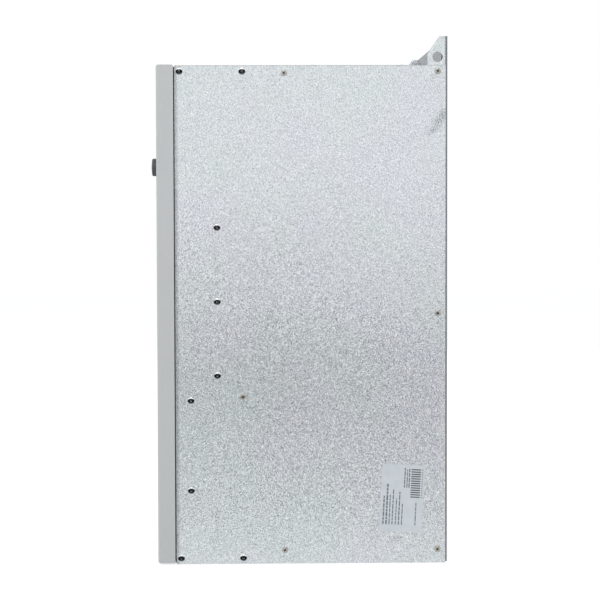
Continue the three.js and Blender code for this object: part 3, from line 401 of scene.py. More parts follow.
def turned(name: str, profile: Sequence[tuple[float, float]], sides: int, place: Matrix) -> Piece:
    """Turns a profile round an axis: a circle primitive is extruded and resized ring by ring.

    Args:
        name: The name of the object.
        profile: Radius and height of each ring. A closed profile ends where it starts.
        sides: The number of sides.
        place: The matrix that takes the Z axis to the piece's own axis.

    Returns:
        The object.
    """
    deselect_all()
    rings = [(max(radius, TIGHT), height) for radius, height in profile]
    bpy.ops.mesh.primitive_circle_add(vertices=sides, radius=rings[0][0], location=(0, 0, rings[0][1]))
    piece = settle(name)
    with editing(piece):
        bpy.ops.mesh.select_all(action="SELECT")
        for (radius, height), (next_radius, next_height) in zip(rings, rings[1:]):
            bpy.ops.mesh.extrude_edges_move(TRANSFORM_OT_translate={"value": (0, 0, next_height - height)})
            share = next_radius / radius
            bpy.ops.transform.resize(value=(share, share, 1), center_override=(0, 0, next_height))
    return moved(tidy(piece), name, place)


def folded(name: str, path: Outline, plane: Plane, start: float, end: float, sheet: float,
           bend: float) -> Piece:
    """Folds a sheet: a plane primitive is extruded along a path, its folds are rounded and it gets a thickness.

    The path is one face of the sheet, and the metal lies to its left.

    Args:
        name: The name of the object.
        path: The corners of the folded face in the plane.
        plane: The plane of the path.
        start: Where the sheet starts on the third axis.
        end: Where it ends.
        sheet: The thickness.
        bend: The outer radius of the folds.

    Returns:
        The object.
    """
    first, second, third = plane.value

    def place(point: Point, level: float) -> Vector:
        """Takes a point of the path to space."""
        spot = Vector((0, 0, 0))
        spot[first], spot[second], spot[third] = point[0], point[1], level
        return spot

    def fold_at(here: Vector) -> Callable[[Any], bool]:
        """Gives the test for the edges that stand on a corner of the path."""
        return lambda edge: all(abs((vertex.co - here)[axis]) < TIGHT for vertex in edge.verts
                                for axis in (first, second))

    deselect_all()
    along = place(path[1], start) - place(path[0], start)
    across = place(path[0], end) - place(path[0], start)
    middle = (place(path[0], start) + place(path[1], end)) / 2
    bpy.ops.mesh.primitive_plane_add(size=1)
    piece = bpy.context.view_layer.objects.active
    normal = along.cross(across).normalized()
    columns = Matrix((along, across, normal)).transposed().to_4x4()
    piece.matrix_world = Matrix.Translation(middle) @ columns
    bpy.context.view_layer.update()
    piece = settle(name)
    with editing(piece):
        for before, after in zip(path[1:], path[2:]):
            here = place(before, start)
            pick(piece, Element.EDGE, fold_at(here))
            step = place(after, start) - here
            bpy.ops.mesh.extrude_edges_move(TRANSFORM_OT_translate={"value": step})
        for before, corner, after in zip(path, path[1:], path[2:]):
            here = place(corner, start)
            turn = (here - place(before, start)).angle(place(after, start) - here)
            radius = bend if is_left_turn(before, corner, after) else bend - sheet
            pick(piece, Element.EDGE, fold_at(here))
            bpy.ops.mesh.bevel(offset=radius * math.tan(turn / 2), segments=6, profile=0.5, affect="EDGES",
                               clamp_overlap=False)
        bpy.ops.mesh.select_all(action="SELECT")
        bpy.ops.mesh.normals_make_consistent(inside=False)
    left = left_of(path[0], path[1])
    inward = place(left, 0)
    here = (place(path[0], start) + place(path[1], start)) / 2
    nearest = min(piece.data.polygons, key=lambda face: (Vector((
        face.center[first], face.center[second])) - Vector((here[first], here[second]))).length)
    offset = 1.0 if nearest.normal.dot(inward) > 0 else -1.0
    return modify(piece, "SOLIDIFY", thickness=sheet, offset=offset, use_even_offset=True)


def left_of(start: Point, end: Point) -> Point:
    """Gives the unit direction to the left of a line.

    Args:
        start: The start of the line.
        end: Its end.

    Returns:
        The direction.
    """
    across, rise = end[0] - start[0], end[1] - start[1]
    length = math.hypot(across, rise)
    return -rise / length, across / length


def is_left_turn(before: Point, corner: Point, after: Point) -> bool:
    """Says whether a path turns left at a corner."""
    left = left_of(before, corner)
    return (after[0] - corner[0]) * left[0] + (after[1] - corner[1]) * left[1] > 0


def rounded_outline(u: float, v: float, width: float, height: float, radius: float,
                    steps: int = 6) -> Outline:
    """Gives the outline of a rectangle with round corners.

    Args:
        u: The middle on the first axis.
        v: The middle on the second axis.
        width: The size on the first axis.
        height: The size on the second axis.
        radius: The radius of the corners.
        steps: The steps of each corner.

    Returns:
        The corners of the outline.
    """
    corners = ((1, 1), (-1, 1), (-1, -1), (1, -1))
    outline = []
    for quarter, (side_u, side_v) in enumerate(corners):
        centre_u = u + side_u * (width / 2 - radius)
        centre_v = v + side_v * (height / 2 - radius)
        for step in range(steps + 1):
            angle = (quarter + step / steps) * math.pi / 2
            outline.append((centre_u + radius * math.cos(angle), centre_v + radius * math.sin(angle)))
    return outline


def slot_outline(u: float, v: float, width: float, height: float) -> Outline:
    """Gives the outline of a slot with round ends, one step short at each end so that no corner doubles."""
    return rounded_outline(u, v, width, height, min(width, height) / 2 - 10 * TIGHT, 5)


def ring_outline(u: float, v: float, radius: float, sides: int) -> Outline:
    """Gives the corners of a circle."""
    angles = [2 * math.pi * index / sides for index in range(sides)]
    return [(u + radius * math.cos(angle), v + radius * math.sin(angle)) for angle in angles]


def facing(axis: str, spot: Sequence[float], side: int = 1) -> Matrix:
    """Gives the matrix that takes +Z at the origin to an axis at a spot.

    Args:
        axis: X, Y or Z.
        spot: The place of the new origin.
        side: 1 for the positive axis, -1 for the negative one.

    Returns:
        The matrix.
    """
    turns = {"X": Matrix.Rotation(side * math.pi / 2, 4, "Y"),
             "Y": Matrix.Rotation(-side * math.pi / 2, 4, "X"),
             "Z": Matrix.Identity(4) if side > 0 else Matrix.Rotation(math.pi, 4, "X")}
    return Matrix.Translation(Vector(spot)) @ turns[axis]


# Materials


def linear(colour: str) -> tuple[float, float, float, float]:
    """Turns an sRGB hex colour to linear.

    Args:
        colour: The colour, such as #b9bcbb.

    Returns:
        Red, green, blue and an alpha of 1.
    """
    shares = [int(colour[i:i + 2], 16) / 255 for i in (1, 3, 5)]
    red, green, blue = (s / 12.92 if s <= 0.04045 else ((s + 0.055) / 1.055) ** 2.4 for s in shares)
    return red, green, blue, 1.0


def add_node(tree: Tree, kind: str, settings: dict[str | int, Any] | None = None,
             links: dict[str | int, Socket] | None = None) -> Node:
    """Adds a node with its settings and links.

    Args:
        tree: The node tree.
        kind: The node's type, without its ShaderNode prefix.
        settings: Lower-case keys are properties, and other names and numbers are inputs.
        links: The sockets that the inputs are linked to.

    Returns:
        The node.
    """
    node = tree.nodes.new(f"ShaderNode{kind}")
    for key, value in (settings or {}).items():
        if isinstance(key, str) and key.islower():
            setattr(node, key, value)
        else:
            node.inputs[key].default_value = value
    for key, socket in (links or {}).items():
        tree.links.new(socket, node.inputs[key])
    return node


def fade(tree: Tree, value: Socket, low: float, high: float, start: float = 0.0,
         end: float = 1.0) -> Socket:
    """Maps a value that runs between two limits to a share, clamped at both ends.

    Args:
        tree: The node tree.
        value: The value.
        low: Its first limit.
        high: Its second limit.
        start: The share at the first limit.
        end: The share at the second limit.

    Returns:
        The socket with the share.
    """
    limits = {"From Min": low, "From Max": high, "To Min": start, "To Max": end}
    return add_node(tree, "MapRange", limits, {"Value": value}).outputs["Result"]


def reckon(tree: Tree, operation: str, first: Socket,
           second: Socket) -> Socket:
    """Adds a math node for two numbers and gives its result."""
    return add_node(tree, "Math", {"operation": operation}, {0: first, 1: second}).outputs[0]


def reckon_vector(tree: Tree, operation: str, first: Socket,
                  second: Socket | Sequence[float]) -> Socket:
    """Adds a vector math node for a socket and a second socket or constant, and gives its result."""
    if isinstance(second, Socket):
        return add_node(tree, "VectorMath", {"operation": operation}, {0: first, 1: second}).outputs[0]
    return add_node(tree, "VectorMath", {"operation": operation, 1: second}, {0: first}).outputs[0]


def mix_colours(tree: Tree, share: Socket, first: Socket | str,
                second: Socket | str) -> Socket:
    """Mixes two colours by a share.

    Args:
        tree: The node tree.
        share: The share of the second colour.
        first: The first colour, as a socket or an sRGB hex colour.
        second: The second colour.

    Returns:
        The socket with the colour.
    """
    settings: dict[str | int, Any] = {"data_type": "RGBA"}
    links: dict[str | int, Socket] = {0: share}
    for number, colour in ((6, first), (7, second)):
        if isinstance(colour, str):
            settings[number] = linear(colour)
        else:
            links[number] = colour
    return add_node(tree, "Mix", settings, links).outputs[2]


def slope(tree: Tree, axis: int) -> Socket:
    """Gives the surface normal's part along one axis."""
    normal = add_node(tree, "NewGeometry").outputs["Normal"]
    return add_node(tree, "SeparateXYZ", {}, {0: normal}).outputs[axis]


def blank_material(name: str) -> bpy.types.Material:
    """Makes a material with an empty node tree."""
    made = bpy.data.materials.new(name)
    made.use_nodes = True
    made.node_tree.nodes.clear()
    return made


@dataclass(frozen=True)
class Finish:
    """The finish of one real material: two tones that a fine grain mixes, and a relief of the same grain.

    Attributes:
        name: The material's name.
        tone: The main colour.
        second: The colour that the grain mixes in.
        roughness: The lowest and the highest roughness.
        metallic: The metallic share.
        grain_mm: The size of the grain.
        stretch: How much longer the grain is along X, Y and Z.
        relief_mm: The height of the relief.
        cloud_mm: The size of the soft patches that shift the tone.
        coat: The weight of a clear coat.
        coat_roughness: Its roughness.
        spread: How sharply the grain divides the two tones.
    """

    name: str
    tone: str
    second: str
    roughness: tuple[float, float] = (0.4, 0.55)
    metallic: float = 0.0
    grain_mm: float = 0.8
    stretch: tuple[float, float, float] = (1.0, 1.0, 1.0)
    relief_mm: float = 0.02
    cloud_mm: float = 40.0
    coat: float = 0.0
    coat_roughness: float = 0.12
    spread: float = 0.5

    def coordinates(self, tree: Tree) -> Socket:
        """Gives the object's coordinates in millimetres, divided by the stretch.

        Args:
            tree: The node tree.

        Returns:
            The socket with the coordinates.
        """
        spots = add_node(tree, "TexCoord").outputs["Object"]
        scale = [METRE_MM / share for share in self.stretch]
        return add_node(tree, "Mapping", {"Scale": scale}, {"Vector": spots}).outputs["Vector"]

    def grain(self, tree: Tree, spots: Socket) -> Socket:
        """Gives the grain as a number from 0 to 1.

        Args:
            tree: The node tree.
            spots: The coordinates.

        Returns:
            The socket with the grain.
        """
        settings = {"Scale": 1 / self.grain_mm, "Detail": 3.0, "Roughness": 0.6}
        noise = add_node(tree, "TexNoise", settings, {"Vector": spots}).outputs["Fac"]
        low = 0.5 - self.spread / 2
        return fade(tree, noise, low, 1 - low)

    def colour(self, tree: Tree, spots: Socket,
               grain: Socket) -> Socket:
        """Mixes the two tones by the grain, and less by the soft patches.

        Args:
            tree: The node tree.
            spots: The coordinates.
            grain: The grain.

        Returns:
            The socket with the colour.
        """
        cloud = add_node(tree, "TexNoise", {"Scale": 1 / self.cloud_mm, "Detail": 2.0}, {"Vector": spots})
        return mix_colours(tree, reckon(tree, "MULTIPLY", grain, cloud.outputs["Fac"]), self.tone, self.second)

    def build(self) -> bpy.types.Material:
        """Makes the material, or gives the one made before.

        Returns:
            The material.
        """
        made = bpy.data.materials.get(self.name)
        if made is not None:
            return made
        made = blank_material(self.name)
        tree = made.node_tree
        spots = self.coordinates(tree)
        grain = self.grain(tree, spots)
        settings = {"Metallic": self.metallic, "Coat Weight": self.coat, "Coat Roughness": self.coat_roughness}
        shader = add_node(tree, "BsdfPrincipled", settings, {
            "Base Color": self.colour(tree, spots, grain), "Normal": self.relief(tree, spots, grain),
            "Roughness": fade(tree, grain, 0.0, 1.0, *self.roughness)})
        self.refine(shader)
        add_node(tree, "OutputMaterial", {}, {"Surface": shader.outputs["BSDF"]})
        made.diffuse_color = linear(self.tone)
        return made

    def relief(self, tree: Tree, spots: Socket,
               grain: Socket) -> Socket:
        """Raises the grain into a fine relief.

        Args:
            tree: The node tree.
            spots: The coordinates.
            grain: The grain.

        Returns:
            The socket with the normal.
        """
        settings = {"Strength": RELIEF_STRENGTH, "Distance": self.relief_mm * MM}
        return add_node(tree, "Bump", settings, {"Height": grain}).outputs["Normal"]

    def refine(self, shader: Node) -> None:
        """Sets what only some finishes need on the shader."""


@dataclass(frozen=True)
class Scuff:
    """A thin dark rub mark on a side panel.

    Attributes:
        depth: How far in front of the wall its middle is, in millimetres.
        height: The height of its middle, in millimetres.
        length: Its length in millimetres.
        width: Its width in millimetres.
        lean: Its angle from upright, in degrees.
    """

    depth: float
    height: float
    length: float
    width: float
    lean: float


@dataclass(frozen=True)
class DarkBand:
    """A darker band along a fold or a cut edge: painted shade in the folds, and a plain darkening along a cut
    edge.

    It lies alike on both sides of the case.

    Attributes:
        edge: A point on the edge on the positive side of X, in metres.
        across: 1 for each axis that the distance from the edge is measured on, and 0 for the others.
        reach: The distance up to which it is darkest, and the one where it has faded out, in metres.
        share: The tone at its darkest, as a share of the clean sheet's.
    """

    edge: tuple[float, float, float]
    across: tuple[float, float, float]
    reach: tuple[float, float]
    share: float


@dataclass(frozen=True)
class GalvanisedSheet(Finish):
    """Hot-dip galvanised steel sheet: fine zinc crystals that differ in tone and tilt, rub marks, painted shade
    in the folds and on faces that look forward, and a darker band along cut edges.

    Attributes:
        spangle_mm: The size of a zinc crystal.
        tilt: How far a crystal leans, as a slope.
        cool: The tint of the bluish patches.
        fresh: The tint of the greenish patches.
        bands: The darker bands at folds and edges: painted shade in the folds.
        forward: The painted shade on the faces that look forward, as a share of the others' tone.
        scuffs: The rub marks.
        rub: Their colour.
        rub_mm: The size of the grit that breaks them up.
        rub_through: How far they reach across the sheet, in metres.
        wall: Where the wall plane is on the Y axis, in metres.
        face: Where the marked panel is on the X axis, in metres.
    """

    spangle_mm: float = 0.75
    tilt: float = 0.235
    cool: str = "#fdfcff"
    fresh: str = "#fbfefc"
    bands: tuple[DarkBand, ...] = ()
    forward: float = 1.0
    scuffs: tuple[Scuff, ...] = ()
    rub: str = "#7f888d"
    rub_mm: float = 1.2
    rub_through: float = 5 * MM
    wall: float = 0.0
    face: float = 0.0

    def grain(self, tree: Tree, spots: Socket) -> Socket:
        """Mixes the crystals' own tones with the winding lines of their growth.

        Args:
            tree: The node tree.
            spots: The coordinates.

        Returns:
            The socket with the grain.
        """
        tones = add_node(tree, "SeparateColor", {}, {"Color": self.crystals(tree, spots).outputs["Color"]})
        winding = add_node(tree, "TexNoise", {"Scale": 1 / self.grain_mm, "Detail": 2.0, "Roughness": 0.55,
                                              "Distortion": 1.4}, {"Vector": spots})
        lines = fade(tree, winding.outputs["Fac"], 0.3, 0.7)
        halves = {"data_type": "FLOAT", 0: 0.5}
        return add_node(tree, "Mix", halves, {2: tones.outputs[0], 3: lines}).outputs[0]

    def crystals(self, tree: Tree, spots: Socket) -> Node:
        """Adds the cells that stand for the zinc crystals."""
        settings = {"Scale": 1 / self.spangle_mm, "Randomness": 1.0}
        return add_node(tree, "TexVoronoi", settings, {"Vector": spots})

    def relief(self, tree: Tree, spots: Socket,
               grain: Socket) -> Socket:
        """Leans each crystal its own way, over the fine relief of the grain.

        Args:
            tree: The node tree.
            spots: The coordinates.
            grain: The grain.

        Returns:
            The socket with the normal.
        """
        lean = reckon_vector(tree, "SUBTRACT", self.crystals(tree, spots).outputs["Color"], (0.5, 0.5, 0.5))
        offset = add_node(tree, "VectorMath", {"operation": "SCALE", "Scale": self.tilt}, {0: lean}).outputs[0]
        leant = reckon_vector(tree, "ADD", add_node(tree, "NewGeometry").outputs["Normal"], offset)
        unit = add_node(tree, "VectorMath", {"operation": "NORMALIZE"}, {0: leant})
        settings = {"Strength": RELIEF_STRENGTH, "Distance": self.relief_mm * MM}
        return add_node(tree, "Bump", settings, {"Height": grain, "Normal": unit.outputs[0]}).outputs["Normal"]

    def colour(self, tree: Tree, spots: Socket,
               grain: Socket) -> Socket:
        """Colours the crystals, tints them in soft patches and lays the rub marks over them.

        Args:
            tree: The node tree.
            spots: The coordinates.
            grain: The grain.

        Returns:
            The socket with the colour.
        """
        zinc = mix_colours(tree, grain, self.second, self.tone)
        cloud = add_node(tree, "TexNoise", {"Scale": 1 / self.cloud_mm, "Detail": 2.0}, {"Vector": spots})
        tint = mix_colours(tree, fade(tree, cloud.outputs["Fac"], 0.38, 0.62), self.cool, self.fresh)
        result = add_node(tree, "Mix", {"data_type": "RGBA", "blend_type": "MULTIPLY", 0: 1.0},
                          {6: zinc, 7: tint}).outputs[2]
        across, forth, up = add_node(tree, "SeparateXYZ", {}, {
            0: add_node(tree, "TexCoord").outputs["Object"]}).outputs
        out = add_node(tree, "Math", {"operation": "ABSOLUTE"}, {0: across}).outputs[0]
        mirrored = add_node(tree, "CombineXYZ", {}, {0: out, 1: forth, 2: up})
        # Painted shade along the folds, and a darker band along cut edges
        for band in self.bands:
            offset = reckon_vector(tree, "SUBTRACT", mirrored.outputs[0], band.edge)
            apart = reckon_vector(tree, "MULTIPLY", offset, band.across)
            reach = add_node(tree, "VectorMath", {"operation": "LENGTH"}, {0: apart}).outputs["Value"]
            result = self.darkened(tree, result, fade(tree, reach, *band.reach, band.share))
        # Painted shade on the faces that look forward, such as the plate's front face between the ears
        if self.forward < 1:
            result = self.darkened(tree, result, fade(tree, slope(tree, 1), *FORWARD_SLOPES, self.forward))
        for scuff in self.scuffs:
            result = self.rubbed(tree, result, scuff)
        return result

    def refine(self, shader: Node) -> None:
        """Roughens the faces that look forward, where the sheet slid over its support."""
        if self.forward < 1:
            tree, rough = shader.id_data, shader.inputs["Roughness"].links[0].from_socket
            extra = fade(tree, slope(tree, 1), *FORWARD_SLOPES, FORWARD_ROUGHNESS, 0.0)
            tree.links.new(reckon(tree, "ADD", rough, extra), shader.inputs["Roughness"])

    def darkened(self, tree: Tree, colour: Socket,
               share: Socket) -> Socket:
        """Scales a colour by a share that changes over the surface.

        Args:
            tree: The node tree.
            colour: The colour.
            share: The share.

        Returns:
            The socket with the colour.
        """
        return add_node(tree, "VectorMath", {"operation": "SCALE"}, {0: colour, "Scale": share}).outputs[0]

    def rubbed(self, tree: Tree, colour: Socket, scuff: Scuff) -> Socket:
        """Darkens the zinc along one rub mark.

        Args:
            tree: The node tree.
            colour: The colour under the mark.
            scuff: The mark.

        Returns:
            The socket with the colour.
        """
        spots = add_node(tree, "TexCoord").outputs["Object"]
        centre = (self.face, self.wall - scuff.depth * MM, scuff.height * MM)
        offset = reckon_vector(tree, "SUBTRACT", spots, centre)
        lean = (math.radians(scuff.lean), 0, 0)
        turned_to = add_node(tree, "Mapping", {"Rotation": lean}, {"Vector": offset})
        half = (self.rub_through, scuff.width / 2 * MM, scuff.length / 2 * MM)
        sized = reckon_vector(tree, "DIVIDE", turned_to.outputs[0], half)
        ball = add_node(tree, "TexGradient", {"gradient_type": "SPHERICAL"}, {"Vector": sized})
        grit = add_node(tree, "TexNoise", {"Scale": METRE_MM / self.rub_mm, "Detail": 3.0}, {"Vector": spots})
        broken = fade(tree, grit.outputs["Fac"], 0.42, 0.62, 0.0, 1.35)
        share = add_node(tree, "Math", {"operation": "MULTIPLY", "use_clamp": True},
                         {0: ball.outputs["Fac"], 1: broken})
        return mix_colours(tree, share.outputs[0], colour, self.rub)


@dataclass(frozen=True)
class DomedSteel(Finish):
    """Plated steel of a small dome: a painted highlight where it faces up, a painted dark reflection across its
    middle, plain below.

    Attributes:
        crest: The colour of the painted highlight above the dark band.
        shade: The colour of the painted dark reflection band.
        above: The slopes between which the band ends at its top.
        below: The same at its bottom.
    """

    crest: str = "#eef0f1"
    shade: str = "#121314"
    above: tuple[float, float] = (0.14, 0.34)
    below: tuple[float, float] = (-0.5, -0.16)

    def colour(self, tree: Tree, spots: Socket,
               grain: Socket) -> Socket:
        """Lays the painted highlight and the painted dark reflection band over the plating.

        Args:
            tree: The node tree.
            spots: The coordinates.
            grain: The grain.

        Returns:
            The socket with the colour.
        """
        plated = super().colour(tree, spots, grain)
        rise = slope(tree, 2)
        # The crest is a painted highlight, and the band is a painted reflection of a dark room
        top = fade(tree, rise, *self.above, 1.0, 0.0)
        band = reckon(tree, "MULTIPLY", top, fade(tree, rise, *self.below))
        return mix_colours(tree, band, mix_colours(tree, top, self.crest, plated), self.shade)


@dataclass(frozen=True)
class TintedLens(Finish):
    """Clear acrylic tinted through: the digits behind it show dimly.

    Attributes:
        clear: The share of the light that passes.
        index: The index of refraction.
    """

    clear: float = 0.85
    index: float = 1.49

    def refine(self, shader: Node) -> None:
        """Lets light through the window."""
        shader.inputs["Transmission Weight"].default_value = self.clear
        shader.inputs["IOR"].default_value = self.index


@dataclass(frozen=True)
class PrintedBoard(Finish):
    """Glass laminate with tracks under green solder mask: the tracks are a rectangular maze, paler than the mask.

    Attributes:
        tracks: The distances from a cell's middle between which a track starts.
    """

    tracks: tuple[float, float] = (0.44, 0.5)

    def grain(self, tree: Tree, spots: Socket) -> Socket:
        """Draws the tracks.

        Args:
            tree: The node tree.
            spots: The coordinates.

        Returns:
            The socket with the tracks.
        """
        cells = add_node(tree, "TexVoronoi", {"Scale": 1 / self.grain_mm, "distance": "CHEBYCHEV",
                                              "feature": "F1"}, {"Vector": spots})
        return fade(tree, cells.outputs["Distance"], *self.tracks)


# Rub marks where a strap or a neighbour dragged over the zinc near the top of the right side panel
PANEL_SCUFFS = (
    Scuff(17.5, 566, 17, 1.0, -28), Scuff(10.5, 549, 20, 1.0, -31), Scuff(26, 563, 12, 1.1, -30),
    Scuff(19.5, 552, 21, 0.9, -37), Scuff(6, 523, 24, 13, 38), Scuff(11, 514, 28, 14, 45),
    Scuff(17, 504, 20, 8, 60),
)

# Hot-dip galvanised sheet: pale blue-grey, with crystals under a millimetre, neither bright nor matt
ZINC_SHEET = GalvanisedSheet("zinc_sheet", "#fcfeff", "#969fa6", (0.1, 0.2), 0.85, 0.9, (1, 1, 1.15),
                             relief_mm=0.03, cloud_mm=90)
# Polyester powder coat: an even light grey with a faint orange peel
POWDER_COAT = Finish("powder_coat", "#c0c3c2", "#b8bbbb", (0.42, 0.52), 0.0, 1.1, relief_mm=0.02, cloud_mm=70)
# EPDM rubber from a mould: dull black with a soft sheen
BUSH_RUBBER = Finish("moulded_rubber", "#242526", "#313233", (0.7, 0.85), 0.0, 0.6, relief_mm=0.02)
# Extruded aluminium: pale, with die lines along the fins
EXTRUDED_ALUMINIUM = Finish("extruded_aluminium", "#c9cccd", "#a9adaf", (0.32, 0.48), 1.0, 0.5, (1, 1, 30),
                            relief_mm=0.01)
# Drawn aluminium can: fine rings round the can show as a silky band
DRAWN_ALUMINIUM = Finish("drawn_aluminium", "#cfd1d2", "#b3b6b8", (0.25, 0.4), 1.0, 0.5, (12, 1, 12),
                         relief_mm=0.01)
# Glass-filled polyamide: black with the fine spark-eroded grain of its mould
BLACK_POLYAMIDE = Finish("glass_filled_polyamide", "#232426", "#303235", (0.45, 0.6), 0.0, 0.5,
                         relief_mm=0.02)
# ABS from a fine-grained mould: dark neutral grey
KEYPAD_ABS = Finish("keypad_abs", "#45484c", "#3b3e42", (0.48, 0.6), 0.0, 0.45, relief_mm=0.02)
# Knob of moulded ABS: dark grey, soft highlights on its ribs
KNOB_ABS = Finish("knob_abs", "#5a5b5f", "#46474b", (0.38, 0.5), 0.0, 0.5, relief_mm=0.015)
# Keys of moulded ABS: satin light grey, green and red
KEY_GREY = Finish("key_abs_grey", "#d2d5d5", "#c6c9c9", (0.4, 0.52), 0.0, 0.4, relief_mm=0.01)
KEY_GREEN = Finish("key_abs_green", "#3f8c58", "#367a4c", (0.4, 0.52), 0.0, 0.4, relief_mm=0.01)
KEY_RED = Finish("key_abs_red", "#b43b35", "#a0332e", (0.4, 0.52), 0.0, 0.4, relief_mm=0.01)
# Pad-printed ink: flat, slightly matt
PRINT_WHITE = Finish("pad_print_white", "#e6e7e6", "#d8dad9", (0.5, 0.6), 0.0, 0.3, relief_mm=0.003)
PRINT_DARK = Finish("pad_print_dark", "#3c3f42", "#34373a", (0.5, 0.6), 0.0, 0.3, relief_mm=0.003)
PRINT_GREY = Finish("label_print_grey", "#71777d", "#61676e", (0.45, 0.55), 0.0, 0.3, relief_mm=0.003)
# Self-adhesive polyester film: smooth, pale and bluish, a little glossier than the zinc round it
LABEL_FILM = Finish("polyester_label", "#d3d8dc", "#bec7ce", (0.3, 0.36), 0.3, 9.0,
                    relief_mm=0.01, cloud_mm=45)
# Zinc-plated steel rivet: a painted highlight at its top, a painted dark reflection band across it, mid grey at
# its foot
RIVET_STEEL = DomedSteel("rivet_steel", "#9da0a2", "#85888a", (0.1, 0.18), 1.0, 0.5, relief_mm=0.01)
# Punched edge of the sheet in the keyholes: bare steel, darker than the zinc, and painted darker still as the
# shade in the narrow slots
KEYHOLE_SHADE = Finish("punched_steel", "#2f3133", "#222426", (0.45, 0.6), 0.6, 0.5, relief_mm=0.01)
# Mandrel end down in the rivet: painted nearly black, as painted shade down in the rivet's hole
MANDREL_SHADE = Finish("mandrel_steel", "#0d0e0e", "#181919", (0.5, 0.6), 0.3, 0.4, relief_mm=0.01)
# Passivated zinc plate on screws: brownish grey with a faint bloom
SCREW_ZINC = Finish("passivated_zinc", "#bab7b1", "#85827c", (0.14, 0.26), 1.0, 0.7,
                    relief_mm=0.01, cloud_mm=6)
# Bright zinc plate on screws: nearly the tone of the sheet
BRIGHT_ZINC = Finish("bright_zinc_plate", "#bab9b6", "#7f7d7a", (0.12, 0.22), 1.0, 0.7,
                     relief_mm=0.01, cloud_mm=6)
# Cross recess of a screw: painted shade down in the recess
RECESS_SHADE = Finish("recess_zinc", "#3a3935", "#252421", (0.4, 0.55), 0.6, 0.4, relief_mm=0.01)
# Nickel-plated wire: bright and smooth
PLATED_WIRE = Finish("nickel_plated_wire", "#cfcfcb", "#b9b9b5", (0.16, 0.26), 1.0, 0.8, relief_mm=0.005)
# Rolled copper bar: warm, with a dull film
ROLLED_COPPER = Finish("rolled_copper", "#c4835a", "#a5673f", (0.28, 0.45), 1.0, 0.7, (1, 8, 1),
                       relief_mm=0.01)
# Enamelled winding: the turns show as fine ribs round the leg
ENAMELLED_WIRE = Finish("enamelled_winding", "#9c5227", "#6f3514", (0.25, 0.4), 0.5, 1.6, (30, 30, 1),
                        relief_mm=0.3, coat=0.6)
# Laminated iron, dipped in varnish: sheet edges show as fine lines
VARNISHED_IRON = Finish("varnished_laminations", "#4a4642", "#2f2c2a", (0.35, 0.55), 0.6, 0.5, (30, 1, 30),
                        relief_mm=0.08, coat=0.3)
# Solder mask on glass laminate: glossy green with lighter tracks
SOLDER_MASK = PrintedBoard("solder_mask", "#1f5b3b", "#3c8a5c", (0.28, 0.4), 0.0, 3.2,
                           relief_mm=0.03, coat=0.3)
# Pluggable terminals: green polyamide
TERMINAL_PA = Finish("green_polyamide", "#3b8a56", "#2f7447", (0.4, 0.5), 0.0, 0.5, relief_mm=0.01)
# Deep red acrylic window
RED_ACRYLIC = TintedLens("red_acrylic", "#7a1c1e", "#6c181a", (0.04, 0.08), 0.0, 4.0, relief_mm=0.002)
# Unlit display segments: milky
DIGIT_SEGMENT = Finish("display_segment", "#cdbdb6", "#c0aea6", (0.35, 0.45), 0.0, 0.5, relief_mm=0.002)


def inner_finish(piece: Piece, test: Callable[[bpy.types.MeshPolygon], bool]) -> None:
    """Sets which faces of a piece take its inner finish.

    Args:
        piece: The piece.
        test: Says whether a face is one of them.
    """
    while len(piece.data.materials) < 2:
        piece.data.materials.append(None)
    for face in piece.data.polygons:
        face.material_index = int(test(face))


def dress(piece: Piece, finish: Finish, body: str | None = None,
          nodes: Sequence[str] = (), inner: Finish | None = None) -> Piece:
    """Gives a finished piece its material, its body and the nodes that it stands for.

    Args:
        piece: The piece.
        finish: Its finish.
        body: The body that it rides on.
        nodes: The nodes that it stands for.
        inner: The finish of the faces that inner_finish chose, or None.

    Returns:
        The same piece.
    """
    finishes = [finish] if inner is None else [finish, inner]
    for number, part in enumerate(finishes):
        if number < len(piece.data.materials):
            piece.data.materials[number] = part.build()
        else:
            piece.data.materials.append(part.build())
    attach(piece, body or CASE)
    if nodes:
        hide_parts(*nodes)
    log.info("%s: %d faces, %s", piece.name, len(piece.data.polygons), finish.name)
    return piece


# Case


@dataclass
class Shell:
    """The main planes of the case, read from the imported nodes, and the sizes that its sheets share.

    Attributes:
        sheet: Thickness of the side panels and plates.
        back_sheet: Thickness of the back plate.
        panel_bend: Outer radius of the side panels' fold.
        plate_bend: Outer radius of the plates' folds.
        flange: Width of the panels' and plates' flanges.
        panel: The corners of the right side panel's box.
        back: The same of the back plate.
        top: The same of the top plate.
        base: The same of the base plate.
        tray: The same of the fan tray.
        grille: The same of the inlet grille.
    """

    sheet: float = 1.2 * MM
    back_sheet: float = 2.0 * MM
    panel_bend: float = 3.0 * MM
    plate_bend: float = 2.4 * MM
    flange: float = 14.0 * MM
    panel: Box = field(default_factory=lambda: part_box("side_panel_right"))
    back: Box = field(default_factory=lambda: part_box("back_plate"))
    top: Box = field(default_factory=lambda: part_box("top_plate"))
    base: Box = field(default_factory=lambda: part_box("base_plate"))
    tray: Box = field(default_factory=lambda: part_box("fan_tray"))
    grille: Box = field(default_factory=lambda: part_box("inlet_grille"))

    @property
    def half(self) -> float:
        """Half the width over the side panels."""
        return self.panel[1].x

    @property
    def wall(self) -> float:
        """The wall plane on Y."""
        return self.back[1].y

    def depth(self, millimetres: float) -> float:
        """Gives the Y of a place that lies so far in front of the wall."""
        return self.wall - millimetres * MM


